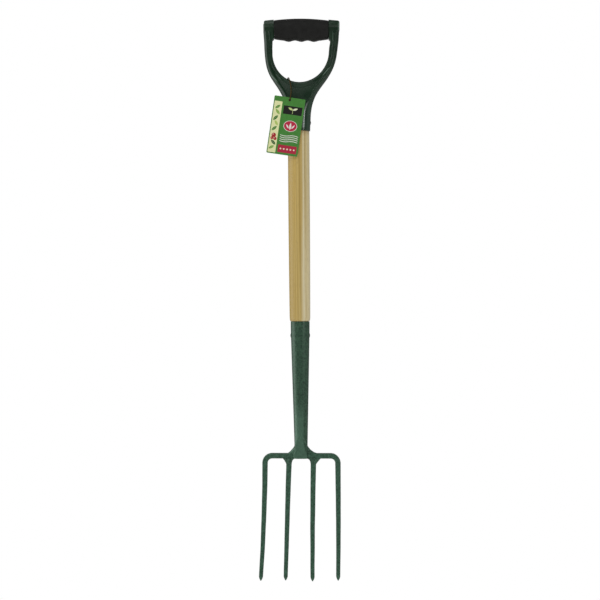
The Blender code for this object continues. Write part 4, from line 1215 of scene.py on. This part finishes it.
def formed(name, seed, group, values, finish, smooth_angle=38):
    """The plain mesh that a form makes of a seed mesh."""
    rough = add_object("rough", seed)
    step = rough.modifiers.new("form", "NODES")
    step.node_group = group
    for item in group.interface.items_tree:
        if item.in_out == "INPUT" and item.name in values:
            step[item.identifier] = values[item.name]
    depsgraph = bpy.context.evaluated_depsgraph_get()
    made = bpy.data.meshes.new_from_object(rough.evaluated_get(depsgraph))
    bpy.data.objects.remove(rough)
    bm = bmesh.new()
    bm.from_mesh(made)
    bmesh.ops.remove_doubles(bm, verts=bm.verts, dist=MERGE)
    bmesh.ops.recalc_face_normals(bm, faces=bm.faces)
    bm.to_mesh(made)
    bm.free()
    made.name = name
    return new_piece(name, made, finish, smooth_angle)


def bar_form():
    """A rounded rectangular bar along a path whose points carry their own size."""
    inputs = {"Width": "Float", "Depth": "Float", "Corner": "Float", "Finish": "Material"}
    group, tree, ports = new_form("bar along a path", inputs)
    path = tree.node("GeometryNodeMeshToCurve", None, {"Mesh": ports["Geometry"]})
    path = tree.node(
        "GeometryNodeSetCurveNormal", {"mode": "FREE"}, {"Curve": path, "Normal": (0, -1, 0)}
    )
    section = tree.node(
        "GeometryNodeCurvePrimitiveQuadrilateral",
        {"mode": "RECTANGLE"},
        {"Width": ports["Depth"], "Height": ports["Width"]},
    )
    section = tree.node(
        "GeometryNodeFilletCurve",
        {"mode": "POLY"},
        {"Curve": section, "Count": 6, "Radius": ports["Corner"]},
    )
    size = tree.node("GeometryNodeInputNamedAttribute", {"data_type": "FLOAT"}, {"Name": "size"})
    bar = tree.node(
        "GeometryNodeCurveToMesh",
        None,
        {"Curve": path, "Profile Curve": section, "Scale": size, "Fill Caps": True},
    )
    close_form(tree, bar, ports["Finish"])
    return group


def path_mesh(points, sizes):
    """A path for a form: a line of points, each with its size."""
    mesh = bpy.data.meshes.new("path")
    edges = [(i, i + 1) for i in range(len(points) - 1)]
    mesh.from_pydata([tuple(point) for point in points], edges, [])
    attribute = mesh.attributes.new("size", "FLOAT", "POINT")
    attribute.data.foreach_set("value", [float(size) for size in sizes])
    return mesh


def tine_line(top_x, splay, bow, share):
    root = BAR_CORNER / HEAD_LENGTH
    below = max(0.0, share - root) / (1 - root)
    x = top_x + (math.copysign(splay, top_x) + TIPS_OFFSET + bow[0] + bow[1] * below) * below
    return Vector((x, -TINE_DISH * share**2, BAR_TOP_Z - (HEAD_LENGTH + bow[2]) * share))


def tine_path(top_x, splay, bow, start, seed):
    """Points and sizes down a tine, with a forged bar's slight unevenness."""
    point = 1 - POINT_LENGTH / HEAD_LENGTH
    shares = list(np.linspace(start, point, 70))
    shares += list(point + (1 - point) * np.sin(np.linspace(0.08, math.pi / 2, 14)))
    points, sizes = [], []
    for share in shares:
        size = 1 - (1 - TINE_TAPER) * min(1.0, share / point)
        uneven = noise.noise(Vector((seed, 0, share * 9))) * min(1.0, (share - start) * 8)
        size *= 1 + 0.012 * uneven
        if share > point:
            left = (1 - share) / (1 - point)
            size *= POINT_BLUNT + (1 - POINT_BLUNT) * math.sin(math.pi / 2 * left)
        shift = 0.00025 * noise.noise(Vector((seed, 5, share * 6))) * min(1.0, share * 5)
        points.append(tine_line(top_x, splay, bow, share) + Vector((shift, 0, 0)))
        sizes.append(size)
    return points, sizes


def build_head(finish):
    """The bent bar with both outer tines, and the two inner tines."""
    group = bar_form()
    top_x = (HEAD_WIDTH - OUTER_TINE_WIDTH) / 2
    radius = BAR_CORNER - BAR_HEIGHT / 2
    start = BAR_CORNER / HEAD_LENGTH
    bar_size = BAR_HEIGHT / OUTER_TINE_WIDTH
    left = tine_path(-top_x, OUTER_SPLAY, OUTER_BOWS[-1], start, 1.0)
    right = tine_path(top_x, OUTER_SPLAY, OUTER_BOWS[1], start, 2.0)
    points, sizes = left[0][::-1], left[1][::-1]
    for hand in (-1, 1):
        for i in range(1, 16):
            turn = math.pi / 2 * (i / 16 if hand < 0 else 1 - i / 16)
            x = top_x - radius * (1 - math.cos(turn))
            z = BAR_TOP_Z - BAR_CORNER + radius * math.sin(turn)
            points.append(Vector((hand * x, 0, z)))
            sizes.append(1 + (bar_size - 1) * math.sin(turn))
        if hand < 0:
            for x in np.linspace(radius - top_x, top_x - radius, 24):
                points.append(Vector((x, 0, BAR_TOP_Z - BAR_HEIGHT / 2)))
                sizes.append(bar_size)
    points = [point + Vector((BAR_SHIFT, 0, HEAD_DROP)) for point in points + right[0]]
    sizes += right[1]
    values = {"Width": OUTER_TINE_WIDTH, "Depth": TINE_DEPTH, "Corner": 0.0017, "Finish": finish}
    bar = formed("bent_bar", path_mesh(points, sizes), group, values, finish)
    lean(bar.data, HEAD_TILT, -2.0, -1.9)
    put(bar, "fork", "hammered_green", "outer_tine_bar")
    values["Width"] = INNER_TINE_WIDTH
    for hand, side in ((-1, "left"), (1, "right")):
        line = tine_path(hand * INNER_SPACING / 2, INNER_SPLAY, INNER_BOWS[hand],
                         BAR_HEIGHT / HEAD_LENGTH, 3.0 + hand)
        tine = formed(f"tine_{side}", path_mesh(*line), group, values, finish)
        put(tine, "fork", "hammered_green", f"inner_tine_{side}")


def hollow_curve(share, power):
    """A fillet's height, from 1 at its root to 0 at its toe."""
    return max(0.0, 1 - min(1.0, share) ** power) ** (1 / power)


def run_lumps(rings, seed, height, near):
    """Uneven weld metal: rings pushed in and out, except close to one end."""
    middle = np.mean([ring.mean(axis=0) for ring in rings], axis=0)
    moved = []
    for row, ring in enumerate(rings):
        free = min(1.0, abs(row - near) / 3)
        out = ring - ring.mean(axis=0)
        out /= np.linalg.norm(out, axis=1)[:, None] + 1e-9
        push = [
            noise.noise(Vector(point - middle) * 420 + Vector((seed, 0, 0)))
            + 0.6 * noise.noise(Vector(point - middle) * 1000 + Vector((0, seed, 0)))
            for point in ring
        ]
        moved.append(ring + out * np.array(push)[:, None] * height * free)
    return moved


def tine_fillet(hand, side):
    """Rings of the fillet round an inner tine's root."""
    drop_out, reach_out, power_out, drop_in, reach_in, power_in = TINE_FILLETS[side]
    rings = []
    for share in np.linspace(0, 1, 26):
        below = -WELD_SINK + (drop_out + WELD_SINK) * share**1.4
        middle = tine_line(hand * INNER_SPACING / 2, INNER_SPLAY, INNER_BOWS[hand],
                           (BAR_HEIGHT + below) / HEAD_LENGTH)
        down = max(0.0, below)
        outwards = reach_out * hollow_curve(down / drop_out, power_out)
        inwards = reach_in * hollow_curve(down / drop_in, power_in)
        half = INNER_TINE_WIDTH / 2 + 0.0008 * (1 - share)
        x, y = ring_points(half + (outwards + inwards) / 2,
                           TINE_DEPTH / 2 + 0.0009 * (1 - share) ** 0.5, 5.0, 72)
        x = x + middle.x + hand * (outwards - inwards) / 2
        rings.append(points_of(x, y + middle.y, middle.z))
    return run_lumps(rings, 7.0 * hand, 0.00055, len(rings) - 1)


def neck_fillet(hand, side):
    """Rings of the flared fillet beside the socket's foot."""
    reach, power = NECK_FILLETS[side]
    root = NECK_RADIUS - 0.0010
    turn = np.linspace(0, math.pi, 40)
    c, s = np.cos(turn), np.sin(turn)
    rings = []
    for share in np.linspace(0, 1, 34):
        x = root + (reach + 0.0010) * share
        rise = WELD_SINK + NECK_FILLET_RISE * hollow_curve(share, power)
        y = np.interp(share, (0, 1), NECK_FILLET_DEPTHS) * np.sign(c) * np.abs(c) ** 0.8
        z = BAR_TOP_Z - WELD_SINK + rise * s**0.7
        rings.append(points_of(hand * x, y, z))
    return run_lumps(rings, 3.0 * hand, 0.0005, 0)


def build_welds(finish):
    """The fillets of both inner tines and on both sides of the socket's foot."""
    for hand, side in ((-1, "left"), (1, "right")):
        for place, fillet in (("tine", tine_fillet), ("neck", neck_fillet)):
            name = f"{place}_fillet_{side}"
            piece = new_piece(name, closed_mesh(name, *skin(fillet(hand, side))), finish, 60)
            put(piece, "fork", "hammered_green", f"{place}_weld_{side}")


def rivet_form():
    """A pin with a low dome on each end of it."""
    inputs = {"Reach": "Float", "Head": "Float", "Dome": "Float", "Pin": "Float",
              "Finish": "Material"}
    group, tree, ports = new_form("domed rivet", inputs)
    ball = tree.node(
        "GeometryNodeMeshUVSphere", None, {"Segments": 40, "Rings": 24, "Radius": ports["Head"]}
    )
    flatness = tree.node("ShaderNodeCombineXYZ", None,
                         {0: 1.0, 1: 1.0, 2: ports["Dome"] / ports["Head"]})
    head = tree.node("GeometryNodeTransform", None, {"Geometry": ball, "Scale": flatness})
    turn = tree.node("GeometryNodeInputNamedAttribute", {"data_type": "FLOAT_VECTOR"},
                     {"Name": "turn"})
    heads = tree.node(
        "GeometryNodeInstanceOnPoints",
        None,
        {"Points": ports["Geometry"], "Instance": head, "Rotation": turn},
    )
    pin = tree.node(
        "GeometryNodeMeshCylinder",
        None,
        {"Vertices": 32, "Radius": ports["Pin"], "Depth": ports["Reach"] * 2},
    )
    pin = tree.node("GeometryNodeTransform", None,
                    {"Geometry": pin, "Rotation": (0, math.pi / 2, 0)})
    joined = tree.node("GeometryNodeJoinGeometry", None, {0: heads})
    tree.owner.links.new(pin.socket, joined.socket.node.inputs[0])
    close_form(tree, joined, ports["Finish"])
    return group


def build_rivets(finish):
    """The two rivets, each from side to side."""
    group = rivet_form()
    for name, node, reach, head, dome, z in RIVETS:
        seed = bpy.data.meshes.new("ends")
        seed.from_pydata([(reach, 0, 0), (-reach, 0, 0)], [], [])
        turn = seed.attributes.new("turn", "FLOAT_VECTOR", "POINT")
        turn.data.foreach_set("vector", [0, math.pi / 2, 0, 0, -math.pi / 2, 0])
        values = {"Reach": reach, "Head": head, "Dome": dome, "Pin": RIVET_PIN, "Finish": finish}
        rivet = formed(name, seed, group, values, finish, 70)
        rivet.data.transform(Matrix.Translation((0, 0, z)))
        put(rivet, "fork", "rivet_steel", node)


# Tag and string


def build_tag(finish):
    """The printed card, a little curled, with a clean punched hole."""
    half = CARD_WIDTH / 2
    top = TAG_HOLE_DROP
    low = top - CARD_HEIGHT
    rim = []
    for quarter, (sx, sz) in enumerate(((1, 1), (-1, 1), (-1, -1), (1, -1))):
        for i in range(7):
            turn = math.pi / 2 * (quarter + i / 6)
            x = sx * (half - CARD_CORNER) + CARD_CORNER * math.cos(turn)
            z = (top if sz > 0 else low) - sz * CARD_CORNER + CARD_CORNER * math.sin(turn)
            rim.append((x, z))
    rim = even(rim + rim[:1], 0.0012)[:-1]
    turn = np.linspace(0, 2 * math.pi, 40, endpoint=False)
    hole = points_of(np.cos(turn), np.sin(turn)) * TAG_HOLE_RADIUS
    free = np.array([(x, z) for x in np.arange(-half + 0.0015, half, 0.0025)
                     for z in np.arange(low + 0.0015, top, 0.0025)
                     if math.hypot(x, z) > 0.0035 and abs(x) < half - 0.001])
    points = np.vstack([rim, hole, free])
    edges = [(i, (i + 1) % len(rim)) for i in range(len(rim))]
    edges += [(len(rim) + i, len(rim) + (i + 1) % 40) for i in range(40)]
    net, faces, middles = flat_net(points, edges)
    faces = faces[is_inside(middles, rim) & ~is_inside(middles, hole)]
    drop = np.clip((top - net[:, 1]) / CARD_HEIGHT, 0, 1)
    curl = -0.0012 * drop**2 - 0.0009 * (net[:, 0] / half) ** 2 * drop
    bm = bmesh.new()
    print_map = bm.loops.layers.uv.new("print")

    def add_face(corners, printed=False):
        for loop in bm.faces.new(corners).loops:
            x, _, z = loop.vert.co
            loop[print_map].uv = ((x + half) * 1000, (z - low) * 1000) if printed else (-1, -1)

    front, back = [], []
    for (x, z), y in zip(net.tolist(), curl.tolist()):
        front.append(bm.verts.new((x, y - CARD_THICKNESS / 2, z)))
        back.append(bm.verts.new((x, y + CARD_THICKNESS / 2, z)))
    for a, b, c in faces.tolist():
        add_face((front[a], front[b], front[c]), True)
        add_face((back[c], back[b], back[a]))
    number = {corner: i for i, corner in enumerate(front)}
    for edge in [edge for edge in bm.edges if edge.is_boundary and edge.verts[0] in number]:
        a, b = (number[corner] for corner in edge.verts)
        add_face((front[a], front[b], back[b], back[a]))
    mesh = outward_mesh("swinging_card", bm)
    mesh.transform(Matrix.Translation(TAG_HOLE) @ Matrix.Rotation(TAG_TILT, 4, "Y"))
    return put(new_piece("swinging_card", mesh, finish), "tag", "tag_card", "swing_tag")


def smooth_route(route, step):
    """Evenly spaced points on the smooth curve through a cord's own points."""
    knots = [Vector(point) for point in route]
    knots = [2 * knots[0] - knots[1], *knots, 2 * knots[-1] - knots[-2]]
    fine = []
    for a, b, c, d in zip(knots, knots[1:], knots[2:], knots[3:]):
        for t in np.arange(0, 1, 0.05):
            cubic = (3 * b - a - 3 * c + d) * t**3 + (2 * a - 5 * b + 4 * c - d) * t**2
            fine.append(0.5 * (cubic + (c - a) * t + 2 * b))
    fine.append(knots[-2])
    return even([tuple(point) for point in fine], step)


def stranded(name, lines, finish, pitch=0.0075, count=42):
    """Three twisted strands along each line: a tube of lobed rings.

    A closed line ends where it starts, and the others thin towards their last end.
    """
    bm = bmesh.new()
    strands = bm.loops.layers.uv.new("strands")
    turn = np.linspace(0, 2 * math.pi, count, endpoint=False)
    for line, closed, taper in lines:
        line = np.asarray(line, float)
        ahead = np.roll(line, -1, 0) - np.roll(line, 1, 0) if closed else np.gradient(line, axis=0)
        ahead /= np.linalg.norm(ahead, axis=1)[:, None]
        side = np.cross(ahead[0], (0.3, 0.8, 0.5))
        gone, rings = 0.0, []
        for i, place in enumerate(line):
            side = side - ahead[i] * (side @ ahead[i])
            side /= np.linalg.norm(side)
            over = np.cross(ahead[i], side)
            gone += np.linalg.norm(place - line[i - 1]) if i else 0.0
            twist = 2 * math.pi * gone / pitch
            lobe = STRING_RADIUS * (0.80 + 0.20 * np.abs(np.cos(1.5 * (turn - twist))))
            lobe = lobe * (1 - taper * (i / (len(line) - 1)) ** 3)
            ring = place + np.outer(lobe * np.cos(turn), side) + np.outer(lobe * np.sin(turn), over)
            rings.append(([bm.verts.new(point) for point in ring], gone))
        for (low, start), (high, end) in zip(rings, rings[1:] + rings[:closed]):
            for k in range(count):
                after = (k + 1) % count
                face = bm.faces.new((low[k], low[after], high[after], high[k]))
                spots = ((k, start), (k + 1, start), (k + 1, end), (k, end))
                for loop, (step, gone) in zip(face.loops, spots):
                    loop[strands].uv = (step / count - gone / pitch + 1 / 6 + 100, gone)
        if not closed:
            bm.faces.new(rings[0][0][::-1])
            bm.faces.new(rings[-1][0])
    return new_piece(name, outward_mesh(name, bm), finish, 75)


def build_knot(finish):
    """An overhand knot pulled tight, with two short frayed ends."""
    turn = np.linspace(0, 2 * math.pi, 220, endpoint=False)
    out = KNOT_RADIUS + KNOT_WEAVE * np.cos(3 * turn)
    loop = points_of(out * np.cos(2 * turn), KNOT_WEAVE * np.sin(3 * turn), out * np.sin(2 * turn))
    lines = [(loop + np.array(KNOT_PLACE), True, 0.0)]
    for ends in KNOT_ENDS:
        tail = smooth_route([tuple(KNOT_PLACE + Vector(end)) for end in ends], 0.0003)
        lines.append((tail, False, 0.55))
    knot = stranded("pulled_knot", lines, finish)
    return put(knot, "fork", "twine", "string_knot")


def build_string(finish):
    """The twine from the knot over the crotch, through the tag's hole and back."""
    route = smooth_route(STRING_ROUTE, 0.00035)
    cord = stranded("twisted_string", [(route, False, 0.0)], finish)
    put(cord, "fork", "twine", "tag_string")
    return cord, route


# Studio


def place_camera():
    data = bpy.data.cameras.new("camera")
    data.sensor_width = 36
    data.lens = CAMERA_LENS
    camera = add_object("camera", data)
    camera.location = CAMERA_PLACE
    camera.rotation_euler = (math.radians(90), CAMERA_ROLL, 0)
    bpy.context.scene.camera = camera


def add_lamp(name, place, size, power):
    data = bpy.data.lights.new(name, "AREA")
    data.shape = "RECTANGLE"
    data.size, data.size_y = size
    data.energy = power
    lamp = add_object(name, data)
    lamp.location = place
    lamp.rotation_euler = (LAMP_TARGET - Vector(place)).to_track_quat("-Z", "Y").to_euler()


def light_world():
    """White for the camera, dimmer and uneven for gloss and for light."""
    world = bpy.data.worlds.new("studio")
    bpy.context.scene.world = world
    world.use_nodes = True
    tree = Tree(world.node_tree)
    ray = tree.node("ShaderNodeLightPath")
    outputs = ray.socket.node.outputs
    seen = Wire(tree, outputs["Is Camera Ray"])
    seen = seen.math("MAXIMUM", Wire(tree, outputs["Is Transmission Ray"]))
    glossy = Wire(tree, outputs["Is Glossy Ray"])
    x, y, z = tree.parts(tree.node("ShaderNodeTexCoord"))
    sides = tree.rise(y, -0.45, 0.05) * (1 - 0.9 * tree.rise(y, 0.15, 0.55))
    sides = sides * (1 - 0.6 * tree.rise(x, 0.0, 0.6))
    below = tree.rise(z * -1, 0.05, 0.5)
    backdrop = 0.13 + 0.45 * sides + 0.4 * below
    around = 0.62 + 0.16 * below - 0.22 * tree.rise(x, -0.3, 0.8)
    level = seen + (1 - seen) * (glossy * backdrop + (1 - glossy) * around)
    sky = world.node_tree.nodes["Background"]
    sky.inputs["Color"].default_value = (1, 1, 1, 1)
    world.node_tree.links.new(level.socket, sky.inputs["Strength"])


def lay_floor():
    """A pale floor well below the fork."""
    bm = bmesh.new()
    bmesh.ops.create_grid(bm, x_segments=1, y_segments=1, size=FLOOR_REACH)
    mesh = bpy.data.meshes.new("studio_floor")
    bm.to_mesh(mesh)
    bm.free()
    mesh.transform(Matrix.Translation((0, 0, FLOOR_Z)))
    finish, tree, feed = new_finish("pale_floor", roughness=0.9)
    feed(base_color=tree.mix(tree.noise(tree.place(), 3), "e2e2e0", "e8e8e6"))
    floor = new_piece("studio_floor", mesh, finish)


def build_scene():
    place_camera()
    twine = twine_fibre()
    cord, route = build_string(twine)
    knot = build_knot(twine)
    build_tag(printed_card())
    [tuple(point) for point in route[::8]] + [tuple(route[-1])]
    build_yoke(moulded_green())
    build_grip(grip_rubber())
    build_shaft(ash_wood())
    build_socket(hammered_paint("hammered_socket", "233e2f", "42664f", foot="678f78"))
    build_head(hammered_paint("hammered_tines", "2c4c39", "4b745d"))
    build_welds(hammered_paint("hammered_welds", "233d2d", "4c725c", foot="678f78"))
    build_rivets(rivet_paint())
    for lamp in LAMPS:
        add_lamp(*lamp)
    light_world()
    lay_floor()
    bpy.context.scene.view_settings.view_transform = "Standard"


build_scene()
